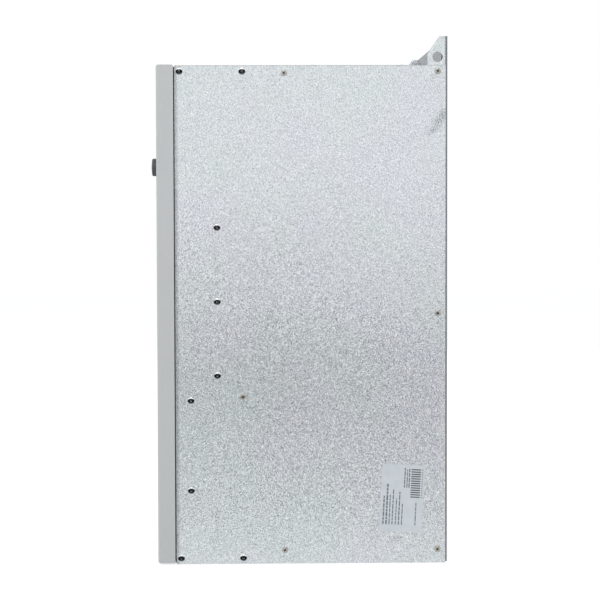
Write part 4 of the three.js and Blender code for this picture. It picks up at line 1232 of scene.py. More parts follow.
@dataclass
class SidePanel:
    """One galvanised side panel, folded at its front edge.

    Attributes:
        shell: The planes of the case.
        corner_cut: What is cut off the folded edge at the top and the bottom.
        fold_reach: How far the painted shade of the fold reaches.
        fold_share: The tone of the painted shade in the fold, as a share of the flat sheet's.
        edge_reach: How far the darker band along the cut top edge reaches.
        edge_share: Its tone.
    """

    shell: Shell
    corner_cut: float = 2.2 * MM
    fold_reach: tuple[float, float] = (2.4 * MM, 5.8 * MM)
    fold_share: float = 0.62
    edge_reach: tuple[float, float] = (0.4 * MM, 1.2 * MM)
    edge_share: float = 0.72

    def finish(self, side: Side) -> Finish:
        """Gives the panel's sheet: painted shade at its fold, darker along its cut top, and rubbed on the
        right-hand side.

        Args:
            side: Left or right.

        Returns:
            The finish.
        """
        front, top = self.shell.panel[0].y, self.shell.panel[1].z
        bands = (DarkBand((self.shell.half, front, 0), (1, 1, 0), self.fold_reach, self.fold_share),
                 DarkBand((0, 0, top), (0, 0, 1), self.edge_reach, self.edge_share))
        scuffs = PANEL_SCUFFS if side is Side.RIGHT else ()
        return replace(ZINC_SHEET, name=f"zinc_sheet_{side.name.lower()}", bands=bands, scuffs=scuffs,
                       wall=self.shell.wall, face=self.shell.half)

    def build(self, side: Side) -> Piece:
        """Makes one panel.

        Args:
            side: Left or right.

        Returns:
            The panel.
        """
        low, high = self.shell.panel
        front, rear, half = low.y, high.y, self.shell.half
        path = [(half - self.shell.flange, front), (half, front), (half, rear)]
        if side is Side.LEFT:
            path = [(-x, y) for x, y in reversed(path)]
        name = f"panel_{side.name.lower()}"
        panel = folded(name, path, Plane.XY, low.z, high.z, self.shell.sheet, self.shell.panel_bend)
        reach = 2 * MM
        for edge, inward in ((low.z, 1), (high.z, -1)):
            cut = [(front - reach, edge - inward * reach), (front + self.corner_cut, edge - inward * reach),
                   (front + self.corner_cut, edge), (front, edge + inward * self.corner_cut),
                   (front - reach, edge + inward * self.corner_cut)]
            combine(panel, prism("cut", cut, Plane.YZ, -2 * half, 2 * half))
        soften(panel, 0.2)
        smooth(panel)
        return dress(panel, self.finish(side), CASE, [f"side_panel_{side.name.lower()}"])


@dataclass
class BackPlate:
    """The back plate with its side flanges, sloping lifting ears, keyholes and foot slots.

    Attributes:
        shell: The planes of the case.
        ear_flat: The flat top of an ear.
        ear_drop: How far the ear slopes down.
        eye_radius: The radius of a lifting eye.
        eye_drop: How far the eye is below the top.
        eye_depth: How far it is in front of the wall.
        slot_width: The width of the keyholes and foot slots.
        head_radius: The radius of the keyhole's head.
        slot_drop: How far the keyhole's end is below the top.
        head_drop: How far the head's middle is below the top.
        foot_height: The height of a foot slot.
        inset: How far the keyholes are inside the panels.
        hole_margin: How far round a keyhole's head its walls are looked for.
        fold_reach: How far the painted shade of the folds reaches from the wall.
        fold_share: The tone of the painted shade in the folds, as a share of the flat sheet's.
        forward_share: The painted shade on the faces that look forward, as a share of the sheet's tone.
    """

    shell: Shell
    ear_flat: float = 9.7 * MM
    ear_drop: float = 20 * MM
    eye_radius: float = 6 * MM
    eye_drop: float = 24 * MM
    eye_depth: float = 11.8
    slot_width: float = 9 * MM
    head_radius: float = 7.5 * MM
    slot_drop: float = 7 * MM
    head_drop: float = 23 * MM
    foot_height: float = 16 * MM
    inset: float = 37 * MM
    hole_margin: float = 0.5 * MM
    fold_reach: tuple[float, float] = (2.2 * MM, 3.8 * MM)
    fold_share: float = 0.3
    forward_share: float = 0.6

    def finish(self) -> Finish:
        """Gives the plate's sheet: painted shade at its folds and on the faces that look forward."""
        corner = (self.shell.back[1].x, self.shell.wall, 0)
        bands = (DarkBand(corner, (1, 1, 0), self.fold_reach, self.fold_share),)
        return replace(ZINC_SHEET, name="zinc_sheet_back", bands=bands, forward=self.forward_share)

    def build(self) -> Piece:
        """Makes the back plate.

        Returns:
            The plate.
        """
        low, high = self.shell.back
        front, rear, half = low.y, high.y, high.x
        path = [(half, front), (half, rear), (-half, rear), (-half, front)]
        plate = folded("back_sheet", path, Plane.XY, low.z, high.z, self.shell.back_sheet, self.shell.panel_bend)
        reach = 5 * MM
        foot, flat = high.z - self.ear_drop, rear - self.ear_flat
        cut = [(front - reach, high.z + reach), (front - reach, foot), (front, foot), (flat, high.z),
               (flat, high.z + reach)]
        combine(plate, prism("slope", cut, Plane.YZ, -2 * half, 2 * half))
        eye = ring_outline(self.shell.depth(self.eye_depth), high.z - self.eye_drop, self.eye_radius, 48)
        combine(plate, prism("eye", eye, Plane.YZ, -2 * half, 2 * half))
        for sign in (-1, 1):
            for tool in self.wall_holes(sign * (self.shell.half - self.inset)):
                combine(plate, tool)
        soften(plate, 0.25)
        smooth(plate)
        # The keyholes' walls take painted shade
        column, reach = self.shell.half - self.inset, self.head_radius + self.hole_margin
        inner_finish(plate, lambda face: (abs(abs(face.center.x) - column) < reach
                                          and abs(face.normal.y) < STEEP))
        return dress(plate, self.finish(), CASE, ["back_plate"], KEYHOLE_SHADE)

    def wall_holes(self, x: float) -> list[Piece]:
        """Makes the cutters of one keyhole and the foot slot below it.

        Args:
            x: The place across.

        Returns:
            The cutters.
        """
        low, high = self.shell.back
        start, end = high.y - 8 * MM, high.y + 4 * MM
        top, head = high.z - self.slot_drop, high.z - self.head_drop
        slot = slot_outline(x, (top + head) / 2, self.slot_width, top - head)
        foot_top = low.z + self.foot_height
        foot = slot_outline(x, low.z, self.slot_width, 2 * (foot_top - low.z))
        return [prism("slot", slot, Plane.XZ, start, end),
                prism("head", ring_outline(x, head, self.head_radius, 48), Plane.XZ, start, end),
                prism("foot", foot, Plane.XZ, start, end)]


@dataclass
class EndPlates:
    """The plates that close the case at the top and the bottom, in front and over the air duct.

    Attributes:
        shell: The planes of the case.
        vent_width: The width of a vent slot.
        vent_pitch: The pitch of the top vents and of the inlet slots.
        base_vent_pitch: The pitch of the vents in the base.
        top_vents: The number of vents in the top.
        base_vents: The number of vents in the base.
        inlet_slots: The number of slots in a row of the inlet grille.
        top_vent_length: The length of a top vent.
        base_vent_length: The length of a base vent.
        base_vent_inset: How far the base vents stand in front of the plate's rear edge.
        inlet_length: The length of an inlet slot.
        inlet_gap: The gap between the two rows of inlet slots.
        clearance: The gap to the neighbouring sheets.
        split_depth: How far in front of the wall the front plates end, in millimetres.
        duct_span: How far in front of the wall the duct plates' flanges end and start, in millimetres.
        tray_hole_radius: The radius of the fan holes.
        notch_half: Half the width of the grille's notches for the wall screws.
        notch_depth: Their depth.
        overcut: How far a cutter stands out of a sheet on each side.
    """

    shell: Shell
    vent_width: float = 5 * MM
    vent_pitch: float = 18 * MM
    base_vent_pitch: float = 30 * MM
    top_vents: int = 12
    base_vents: int = 8
    inlet_slots: int = 14
    top_vent_length: float = 76 * MM
    base_vent_length: float = 15 * MM
    base_vent_inset: float = 6 * MM
    inlet_length: float = 68 * MM
    inlet_gap: float = 8 * MM
    clearance: float = 0.3 * MM
    split_depth: float = 200
    duct_span: tuple[float, float] = (23.8, 181.7)
    tray_hole_radius: float = 56 * MM
    notch_half: float = 10 * MM
    notch_depth: float = 12 * MM
    overcut: float = 2 * MM

    def sheet_between(self, name: str, box: Box, upper: bool, start: float,
                      end: float) -> Piece:
        """Folds a plate with a flange at each side, downwards from the top or upwards from the base.

        Args:
            name: The name of the plate.
            box: The plate's box.
            upper: Whether it lies at the top.
            start: Its front edge.
            end: Its rear edge.

        Returns:
            The plate.
        """
        low, high = box
        half = high.x
        level, edge = (high.z, high.z - self.shell.flange) if upper else (low.z, low.z + self.shell.flange)
        path = [(half, edge), (half, level), (-half, level), (-half, edge)]
        if not upper:
            path.reverse()
        return folded(name, path, Plane.XZ, start, end, self.shell.sheet, self.shell.plate_bend)

    def level(self, box: Box, upper: bool) -> tuple[float, float]:
        """Gives the underside and the upper side of a plate's sheet."""
        return (box[1].z - self.shell.sheet, box[1].z) if upper else (box[0].z, box[0].z + self.shell.sheet)

    def through(self, levels: tuple[float, float]) -> tuple[float, float]:
        """Gives the ends of a cutter that goes through a sheet."""
        return levels[0] - self.overcut, levels[1] + self.overcut

    def slots(self, count: int, pitch: float, length: float, middle: float, levels: tuple[float, float]
              ) -> Piece:
        """Makes the cutter of a row of slots.

        Args:
            count: The number of slots.
            pitch: Their pitch.
            length: Their length.
            middle: The middle of the row on Y.
            levels: The sheet's two faces.

        Returns:
            The cutter.
        """
        start, end = self.through(levels)
        tools = []
        for index in range(count):
            outline = slot_outline((index - (count - 1) / 2) * pitch, middle, self.vent_width, length)
            tools.append(prism("slot", outline, Plane.XY, start, end))
        return joined("slots", *tools)

    def front_plate(self, upper: bool) -> Piece:
        """Makes the plate over or under the electronics, with its lip behind the cover and its vents.

        Args:
            upper: Whether it is the top plate.

        Returns:
            The plate.
        """
        box = self.shell.top if upper else self.shell.base
        levels = self.level(box, upper)
        front = box[0].y
        start = front + self.shell.panel_bend + self.clearance
        end = self.shell.depth(self.split_depth)
        plate = self.sheet_between("top_sheet" if upper else "base_sheet", box, upper, start, end)
        lip_half = self.shell.half - self.shell.flange - self.clearance
        edge = box[1].z - self.shell.flange if upper else box[0].z + self.shell.flange
        combine(plate, self.lip(front, start, levels, edge, lip_half, upper), "UNION")
        if upper:
            vents = (self.top_vents, self.vent_pitch, self.top_vent_length, (start + end) / 2)
        else:
            middle = end - self.base_vent_inset - self.base_vent_length / 2
            vents = (self.base_vents, self.base_vent_pitch, self.base_vent_length, middle)
        combine(plate, self.slots(*vents, levels))
        if not upper:
            for name in BUSHES:
                low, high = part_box(name)
                radius = (high.x - low.x) / 2 - CableBush.lip + self.clearance
                ring = ring_outline((low.x + high.x) / 2, (low.y + high.y) / 2, radius, 64)
                combine(plate, prism("entry", ring, Plane.XY, *self.through(levels)))
        soften(plate, 0.15)
        smooth(plate)
        return dress(plate, ZINC_SHEET, CASE, ["top_plate" if upper else "base_plate"])

    def lip(self, front: float, start: float, levels: tuple[float, float], edge: float, half: float,
            upper: bool) -> Piece:
        """Makes the shelf and the lip that reach forward to the cover.

        Args:
            front: The lip's front face.
            start: Where the folded plate starts.
            levels: The sheet's two faces.
            edge: The lip's free edge.
            half: Half its width.
            upper: Whether it is at the top.

        Returns:
            The lip.
        """
        sheet = self.shell.sheet
        outer, inner = (levels[1], levels[0]) if upper else levels
        rear = start + sheet
        back = front + sheet
        outline = [(rear, outer), (front, outer), (front, edge), (back, edge), (back, inner), (rear, inner)]
        return prism("lip", outline, Plane.YZ, -half, half)

    def duct_plate(self, upper: bool) -> Piece:
        """Makes the fan tray or the inlet grille of the air duct.

        Args:
            upper: Whether it is the fan tray.

        Returns:
            The plate.
        """
        box = self.shell.tray if upper else self.shell.grille
        levels = self.level(box, upper)
        half = box[1].x
        front = box[0].y
        flange_front, flange_rear = (self.shell.depth(depth) for depth in self.duct_span)
        name = "tray_sheet" if upper else "grille_sheet"
        plate = self.sheet_between(name, box, upper, flange_rear, flange_front)
        narrow = half - self.shell.back_sheet - self.clearance
        sheet = self.shell.sheet
        fore = slab("fore", (-half, front, levels[0]), (half, flange_rear + sheet, levels[1]))
        aft = slab("aft", (-narrow, flange_front - sheet, levels[0]), (narrow, box[1].y, levels[1]))
        combine(plate, fore, "UNION")
        combine(plate, aft, "UNION")
        middle = (flange_front + flange_rear) / 2
        start, end = self.through(levels)
        if upper:
            for side in Side:
                x = fan_middle(side).x
                ring = ring_outline(x, middle, self.tray_hole_radius, 96)
                combine(plate, prism("hole", ring, Plane.XY, start, end))
        else:
            for sign in (-1, 1):
                row = middle + sign * (self.inlet_length + self.inlet_gap) / 2
                combine(plate, self.slots(self.inlet_slots, self.vent_pitch, self.inlet_length, row, levels))
                x = sign * (self.shell.half - BackPlate.inset)
                combine(plate, slab("notch", (x - self.notch_half, self.shell.wall - self.notch_depth, start),
                                    (x + self.notch_half, self.shell.wall + 3 * MM, end)))
        soften(plate, 0.15)
        smooth(plate)
        return dress(plate, ZINC_SHEET, CASE, ["fan_tray" if upper else "inlet_grille"])


def fan_middle(side: Side) -> Vector:
    """Gives the middle of one fan's box.

    Args:
        side: Left or right.

    Returns:
        The middle.
    """
    low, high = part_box(f"fan_frame_{side.name.lower()}")
    return (low + high) / 2


@dataclass
class FrontCover:
    """The grey front cover: a tray open to the rear, with rounded front edges and the keypad's mouth.

    Attributes:
        wall: The thickness of the cover.
        corner: The radius of the front edges.
        rear_rounds: The radius of the rear edge at the bottom and at the top.
        mouth: The width and height of the keypad's mouth.
        mouth_corner: The radius of its corners.
        screw_reach: How far the cover screws are from the middle.
        screw_heights: Their heights.
        screw_radius: The radius of a screw's countersink.
        screw_hole: The radius of the hole below it.
        sink_depths: Where the countersink starts to narrow, where it ends, and where the cutter ends.
    """

    wall: float = 2 * MM
    corner: float = 3 * MM
    rear_rounds: tuple[float, float] = (0.8 * MM, 2.2 * MM)
    mouth: tuple[float, float] = (66.6 * MM, 100.6 * MM)
    mouth_corner: float = 5 * MM
    screw_reach: float = 122 * MM
    screw_heights: tuple[float, ...] = (86.3 * MM, 191.5 * MM, 571 * MM)
    screw_radius: float = 4.2 * MM
    screw_hole: float = 2.3 * MM
    sink_depths: tuple[float, float, float] = (0.35 * MM, 2.1 * MM, 4 * MM)

    def screws(self) -> list[Vector]:
        """Gives the places of the cover screws on the front face."""
        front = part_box("front_cover")[0].y
        return [Vector((side * self.screw_reach, front, height)) for height in self.screw_heights
                for side in (-1, 1)]

    def build(self) -> Piece:
        """Makes the cover.

        Returns:
            The cover.
        """
        low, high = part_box("front_cover")
        cover = slab("cover", low, high)
        round_front(cover, low.y, self.corner, 8, clamp=False)
        reach = 4 * MM
        for edge, outward, radius in zip((low.z, high.z), (-1, 1), self.rear_rounds):
            steps = 6
            turns = [step / steps * math.pi / 2 for step in range(steps + 1)]
            cut = [(high.y - radius * (1 - math.sin(turn)), edge - outward * radius * (1 - math.cos(turn)))
                   for turn in turns]
            cut += [(high.y + reach, edge - outward * radius), (high.y + reach, edge + outward * reach),
                    (high.y - radius, edge + outward * reach)]
            combine(cover, prism("cut", cut, Plane.YZ, low.x - reach, high.x + reach))
        inner_low = (low.x + self.wall, low.y + self.wall, low.z + self.wall)
        inner_high = (high.x - self.wall, high.y + self.wall, high.z - self.wall)
        hollow = slab("hollow", inner_low, inner_high)
        soften(hollow, 1.2, 3)
        combine(cover, hollow)
        pad_low, pad_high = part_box("keypad_housing")
        outline = rounded_outline(0, (pad_low.z + pad_high.z) / 2, *self.mouth, self.mouth_corner)
        combine(cover, prism("mouth", outline, Plane.XZ, low.y - self.wall, low.y + 2 * self.wall))
        rim, neck, end = self.sink_depths
        sink = [(0, -MM), (self.screw_radius, -MM), (self.screw_radius, rim), (self.screw_hole, neck),
                (self.screw_hole, end), (0, end)]
        for spot in self.screws():
            combine(cover, turned("sink", sink, 32, facing("Y", spot)))
        soften(cover, 0.25)
        smooth(cover)
        return dress(cover, POWDER_COAT, CASE, ["front_cover"])


# Fasteners


@dataclass
class Rivet:
    """A blind rivet: a low domed head with the broken end of its mandrel down in the middle.

    Attributes:
        head: The radius of the head.
        rise: The height of the head.
        bore: The radius of the hole.
        shank: The radius of the shank.
        length: The length of the shank.
        rim: The height of the head's rim, as a share of the rise.
        sink: The depth of the hole, as a share of the rise.
        sweep: The angle that the crown turns through, in degrees.
    """

    head: float = 4.0 * MM
    rise: float = 1.3 * MM
    bore: float = 1.2 * MM
    shank: float = 1.95 * MM
    length: float = 3.4 * MM
    rim: float = 0.12
    sink: float = 0.3
    sweep: float = 78.0

    def head_profile(self) -> list[tuple[float, float]]:
        """Gives the rings of the head from the shank's end to the bottom of the hole."""
        rings = [(0, -self.length), (self.shank, -self.length), (self.shank, 0), (self.head, 0),
                 (self.head, self.rim * self.rise)]
        steps = 6
        for step in range(1, steps + 1):
            angle = step / steps * math.radians(self.sweep)
            radius = self.head - (self.head - self.bore) * (1 - math.cos(angle)) * 1.12
            rings.append((max(radius, self.bore * 1.18), self.rise * (self.rim + 0.9 * math.sin(angle))))
        floor = -self.sink * self.rise
        return rings + [(self.bore, self.rise * 0.94), (self.bore, floor), (0, floor)]

    def build(self, name: str, place: Matrix) -> tuple[Piece, Piece]:
        """Makes one rivet.

        Args:
            name: Its name.
            place: The matrix from +Z to its axis.

        Returns:
            The rivet and its mandrel end.
        """
        body = smooth(turned(name, self.head_profile(), 32, place), 50)
        foot, radius = -self.sink * self.rise, self.bore * 0.86
        stub = [(0, foot), (radius, foot), (radius, 0.15 * self.rise), (self.bore * 0.5, 0.32 * self.rise),
                (0, 0.26 * self.rise)]
        return body, smooth(turned(f"{name}_mandrel", stub, 16, place), 50)


@dataclass
class CrossScrew:
    """A screw with a cross recess: a pan head, or a countersunk one that lies flush.

    Attributes:
        head: The radius of the head.
        rise: Its height above the surface.
        shank: The radius of the shank.
        length: The length of the shank.
        flush: Whether the head is countersunk.
        recess_depth: The depth of the cross recess.
        recess_share: The reach of its arms as a share of the head's radius.
        arm_half: Half the width of an arm.
    """

    head: float = 3.75 * MM
    rise: float = 2.0 * MM
    shank: float = 2.0 * MM
    length: float = 8 * MM
    flush: bool = False
    recess_depth: float = 1.85 * MM
    recess_share: float = 0.6
    arm_half: float = 0.6 * MM

    def rings(self) -> list[tuple[float, float]]:
        """Gives the rings of the head and shank."""
        if self.flush:
            return [(0, -self.length), (self.shank, -self.length), (self.shank, -2.0 * MM),
                    (self.head, -0.35 * MM), (self.head, -0.1 * MM), (self.head * 0.97, 0), (0, 0.05 * MM)]
        rings = [(0, -self.length), (self.shank, -self.length), (self.shank, 0), (self.head, 0)]
        steps = 6
        for step in range(steps + 1):
            angle = step / steps * math.pi / 2
            radius = self.head * (0.62 + 0.38 * math.cos(angle))
            rings.append((radius, self.rise * (0.35 + 0.6 * math.sin(angle))))
        rings.append((0, self.rise))
        return rings

    def build(self, name: str, place: Matrix) -> Piece:
        """Makes one screw.

        Args:
            name: Its name.
            place: The matrix from +Z to its axis.

        Returns:
            The screw.
        """
        screw = turned(name, self.rings(), 32, Matrix.Identity(4))
        top = 0.05 * MM if self.flush else self.rise
        deep = top - self.recess_depth
        reach = self.head * self.recess_share
        for quarter in (0, 1):
            arm = slab("arm", (-reach, -self.arm_half, deep), (reach, self.arm_half, top + MM))
            with editing(arm, Element.FACE):
                pick(arm, Element.FACE, lambda face: face.normal.z < -STEEP)
                bpy.ops.transform.resize(value=(0.45, 0.7, 1), center_override=(0, 0, deep))
            combine(screw, moved(arm, "arm", Matrix.Rotation(quarter * math.pi / 2, 4, "Z")))
        # The recess faces take the painted shade
        inner_finish(screw, lambda face: deep - TIGHT < face.center.z < top - self.recess_depth / 8
                     and math.hypot(face.center.x, face.center.y) < reach)
        return smooth(moved(screw, name, place), 35)


@dataclass
class Fasteners:
    """Every rivet and screw that shows on the case.

    Attributes:
        shell: The planes of the case.
        rivets: Depth in front of the wall and height of each rivet of a side panel, in millimetres.
        screws: The same for the passivated screws at the rear edge and on the terminal deck.
        bright_screws: The same for the bright screws of the partition.
        guard_reach: How far the guard screws are from the middle of a fan.
        guard_level: How high they stand above the guard's underside.
        sunk: How far the cover screws lie behind the cover's face.
        guard_turn: How far the cross turns from one guard screw to the next, in radians.
        cover_turn: The same for the cover screws.
        panel_turn: The same for the panels' screws.
    """

    shell: Shell
    rivets: tuple[tuple[float, float], ...] = (
        (311, 573), (238.5, 573), (311, 7), (238.5, 7), (268, 220.5), (268, 306.6), (268, 392.8), (299, 86.3),
        (299, 191.5))
    screws: tuple[tuple[float, float], ...] = ((11.8, 573), (11.8, 292.5), (11.8, 16), (238.5, 195.7))
    bright_screws: tuple[tuple[float, float], ...] = ((190, 571), (190, 16))
    guard_reach: float = 52.5 * MM
    guard_level: float = 1.8 * MM
    sunk: float = 0.1 * MM
    guard_turn: float = 0.7
    cover_turn: float = 0.9
    panel_turn: float = 1.3

    def build(self, cover: FrontCover) -> None:
        """Makes all fasteners.

        Args:
            cover: The cover, which says where its screws are.
        """
        origin = Matrix.Identity(4)
        rivet, mandrel = Rivet().build("rivet_master", origin)
        pan = CrossScrew().build("screw_master", origin)
        sunk = CrossScrew(head=4.0 * MM, flush=True, length=12 * MM).build("sunk_screw_master", origin)
        guard = CrossScrew(rise=1.2 * MM, recess_depth=MM, length=10 * MM).build("guard_master", origin)
        for side in Side:
            word = side.name.lower()
            for number, (depth, height) in enumerate(self.rivets, 1):
                place = self.on_side(side, depth, height, number)
                dress(copied(rivet, f"rivet_{word}_{number}", place), RIVET_STEEL)
                dress(copied(mandrel, f"mandrel_{word}_{number}", place), MANDREL_SHADE)
            for kind, finish, spots in (("panel_screw", SCREW_ZINC, self.screws),
                                        ("partition_screw", BRIGHT_ZINC, self.bright_screws)):
                for number, (depth, height) in enumerate(spots, 1):
                    place = self.on_side(side, depth, height, number)
                    dress(copied(pan, f"{kind}_{word}_{number}", place), finish, inner=RECESS_SHADE)
            middle = fan_middle(side)
            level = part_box(f"fan_guard_{word}")[0].z + self.guard_level
            for number, (x, y) in enumerate(CORNERS, 1):
                spot = (middle.x + x * self.guard_reach, middle.y + y * self.guard_reach, level)
                place = facing("Z", spot) @ Matrix.Rotation(number * self.guard_turn, 4, "Z")
                dress(copied(guard, f"guard_screw_{word}_{number}", place), BRIGHT_ZINC, inner=RECESS_SHADE)
        for number, spot in enumerate(cover.screws(), 1):
            turn = Matrix.Rotation(number * self.cover_turn, 4, "Z")
            place = facing("Y", spot + Vector((0, self.sunk, 0)), -1) @ turn
            dress(copied(sunk, f"cover_screw_{number}", place), BRIGHT_ZINC, inner=RECESS_SHADE)
        for master in (rivet, mandrel, pan, sunk, guard):
            bpy.data.objects.remove(master)

    def on_side(self, side: Side, depth: float, height: float, number: int) -> Matrix:
        """Gives the place of a fastener on a side panel.

        Args:
            side: The panel.
            depth: The depth in front of the wall, in millimetres.
            height: The height in millimetres.
            number: Its number, which turns its cross.

        Returns:
            The matrix.
        """
        spot = (side.value * self.shell.half, self.shell.depth(depth), height * MM)
        return facing("X", spot, side.value) @ Matrix.Rotation(number * self.panel_turn, 4, "Z")


# Fans


@dataclass
class Fan:
    """One axial fan: its frame, its rotor and its wire guard.

    Attributes:
        side: Left or right.
        corner: The radius of the frame's corners.
        flange: The thickness of its flanges.
        bore: The radius of its bore.
        tube: The thickness of its tube.
        hole: The radius of its screw holes.
        reach: How far the holes are from the middle.
        hub: The radius of the hub and the motor base.
        disc: The thickness of the motor base.
        strut: The width of a strut.
        stator: The radius and the height of the stator.
        gap: The gap between base and rotor.
        cup: The height of the rotor's cup.
        blades: The number of blades.
        chord: The width of a blade at its tip.
        root_chord: Its width at the hub, as a share of that.
        blade_sheet: Its thickness.
        pitch: Its middle angle to the fan's plane, in degrees.
        twist: How far it turns from the hub to the tip, in degrees.
        tip_gap: The gap between tips and bore.
        wire: The radii of the guard's ring wire and arm wire.
        rings: The radii of the guard's rings.
        eye: The radius of the guard's screw eyes.
    """

    side: Side
    corner: float = 8 * MM
    flange: float = 4 * MM
    bore: float = 58 * MM
    tube: float = 1.8 * MM
    hole: float = 2.3 * MM
    reach: float = 52.5 * MM
    hub: float = 23 * MM
    disc: float = 5 * MM
    strut: float = 5 * MM
    stator: tuple[float, float] = (17 * MM, 16 * MM)
    gap: float = 0.6 * MM
    cup: float = 27 * MM
    blades: int = 7
    chord: float = 40 * MM
    root_chord: float = 0.66
    blade_sheet: float = 1.6 * MM
    pitch: float = 37.0
    twist: float = 22.0
    tip_gap: float = 2 * MM
    wire: tuple[float, float] = (0.8 * MM, 0.9 * MM)
    rings: tuple[float, ...] = (17 * MM, 34 * MM, 51 * MM)
    eye: float = 3.6 * MM

    def build(self) -> None:
        """Makes the frame, the rotor and the guard."""
        word = self.side.name.lower()
        dress(self.frame(f"fan_housing_{word}"), BLACK_POLYAMIDE, CASE, [f"fan_frame_{word}"])
        dress(self.rotor(f"fan_wheel_{word}"), BLACK_POLYAMIDE, f"fan_rotor_{word}",
              [f"fan_rotor_{word}"])
        dress(self.guard(f"fan_wires_{word}"), PLATED_WIRE, CASE, [f"fan_guard_{word}"])

    def frame(self, name: str) -> Piece:
        """Makes the frame with its struts and motor base.

        Args:
            name: The name of the piece.

        Returns:
            The frame.
        """
        low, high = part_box(f"fan_frame_{self.side.name.lower()}")
        middle = (low + high) / 2
        square = rounded_outline(middle.x, middle.y, high.x - low.x, high.y - low.y, self.corner, 8)
        frame = prism(name, square, Plane.XY, low.z, low.z + self.flange)
        combine(frame, prism("tube", ring_outline(middle.x, middle.y, self.bore + self.tube, 96), Plane.XY,
                             low.z + self.flange / 2, high.z - self.flange / 2), "UNION")
        combine(frame, prism("upper", square, Plane.XY, high.z - self.flange, high.z), "UNION")
        combine(frame, prism("bore", ring_outline(middle.x, middle.y, self.bore, 96), Plane.XY, low.z - MM,
                             high.z + MM))
        base_high = low.z + self.disc
        for index in range(4):
            strut = slab("strut", (self.stator[0] * 0.8, -self.strut / 2, low.z),
                         (self.bore + self.tube / 2, self.strut / 2, base_high))
            soften(strut, 0.8, 2)
            turn = Matrix.Rotation((index + 0.5) * math.pi / 2, 4, "Z")
            combine(frame, moved(strut, "strut", Matrix.Translation((middle.x, middle.y, 0)) @ turn), "UNION")
        stator, rise = self.stator
        profile = [(0, low.z), (self.hub - MM, low.z), (self.hub, low.z + MM), (self.hub, base_high),
                   (stator, base_high), (stator, base_high + rise), (2.3 * MM, base_high + rise),
                   (2.3 * MM, base_high), (0, base_high)]
        combine(frame, turned("base", profile, 64, Matrix.Translation((middle.x, middle.y, 0))), "UNION")
        for x, y in CORNERS:
            ring = ring_outline(middle.x + x * self.reach, middle.y + y * self.reach, self.hole, 24)
            combine(frame, prism("hole", ring, Plane.XY, low.z - MM, high.z + MM))
        soften(frame, 0.35)
        return smooth(frame)

    def blade(self) -> Piece:
        """Makes one blade in place on the right of the hub: twisted, bent and trimmed to the bore.

        Returns:
            The blade.
        """
        tip = self.bore - self.tip_gap
        chord, sheet = self.chord / 2, self.blade_sheet / 2
        blade = slab("blade", (self.hub * 0.86, -chord, -sheet), (tip + 2 * MM, chord, sheet))
        with editing(blade, Element.FACE):
            bpy.ops.mesh.select_all(action="SELECT")
            bpy.ops.mesh.subdivide(number_cuts=9)
            pick(blade, Element.FACE, lambda face: face.calc_center_median().x < self.hub)
            bpy.ops.transform.resize(value=(1, self.root_chord, 1), center_override=(0, 0, 0))
        modify(blade, "SIMPLE_DEFORM", deform_method="TWIST", deform_axis="X", angle=-math.radians(self.twist))
        moved(blade, "blade", Matrix.Rotation(math.radians(self.pitch), 4, "X"))
        trim = turned("trim", [(0, -30 * MM), (tip, -30 * MM), (tip, 30 * MM), (0, 30 * MM)], 96,
                      Matrix.Identity(4))
        combine(blade, trim, "INTERSECT")
        soften(blade, 0.5, 2, 50)
        return blade

    def rotor(self, name: str) -> Piece:
        """Makes the hub with its shaft, and the blades round it.

        Args:
            name: The name of the piece.

        Returns:
            The rotor.
        """
        middle = fan_middle(self.side)
        frame_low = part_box(f"fan_frame_{self.side.name.lower()}")[0].z
        base = self.disc + self.gap
        top = base + self.cup
        wall, shaft, inner = 2 * MM, 2 * MM, self.hub - 2 * MM
        dish = top - 0.4 * MM
        profile = [(0, base), (shaft, base), (shaft, top - wall), (inner, top - wall), (inner, base),
                   (self.hub, base), (self.hub, top - wall), (self.hub - 0.6 * wall, top - 0.4 * wall),
                   (self.hub - wall, top), (self.hub * 0.7, top), (self.hub * 0.68, dish), (0, dish)]
        hub = turned(name, profile, 64, Matrix.Identity(4))
        blade = self.blade()
        pieces = [hub]
        for index in range(self.blades):
            turn = Matrix.Rotation(index * 2 * math.pi / self.blades, 4, "Z")
            pieces.append(copied(blade, "blade_copy", Matrix.Translation((0, 0, (base + top) / 2)) @ turn))
        bpy.data.objects.remove(blade)
        place = Matrix.Translation((middle.x, middle.y, frame_low))
        return smooth(moved(joined(name, *pieces), name, place), 40)

    def guard(self, name: str) -> Piece:
        """Makes the finger guard: rings on four arms that end in screw eyes.

        Args:
            name: The name of the piece.

        Returns:
            The guard.
        """
        middle = fan_middle(self.side)
        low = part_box(f"fan_guard_{self.side.name.lower()}")[0].z
        ring_wire, arm_wire = self.wire
        arm_level = low + arm_wire
        ring_level = arm_level + arm_wire + ring_wire / 2
        parts = []
        for radius in self.rings:
            deselect_all()
            bpy.ops.mesh.primitive_torus_add(major_radius=radius, minor_radius=ring_wire, major_segments=96,
                                             minor_segments=10, location=(middle.x, middle.y, ring_level))
            parts.append(settle("ring"))
        eye_reach = self.reach * math.sqrt(2)
        for index in range(4):
            turn = Matrix.Translation((middle.x, middle.y, arm_level)) @ Matrix.Rotation(
                (index + 0.5) * math.pi / 2, 4, "Z")
            length = eye_reach - self.eye - self.rings[0] + ring_wire
            profile = [(0, 0), (arm_wire * 0.7, 0), (arm_wire, arm_wire * 0.4), (arm_wire, length), (0, length)]
            parts.append(turned("arm", profile, 12, turn @ facing("X", (self.rings[0] - ring_wire, 0, 0))))
            deselect_all()
            bpy.ops.mesh.primitive_torus_add(major_radius=self.eye, minor_radius=arm_wire, major_segments=32,
                                             minor_segments=10)
            parts.append(settle("eye", turn @ Matrix.Translation((eye_reach, 0, 0))))
        guard = joined(name, *parts)
        return smooth(guard, 60)


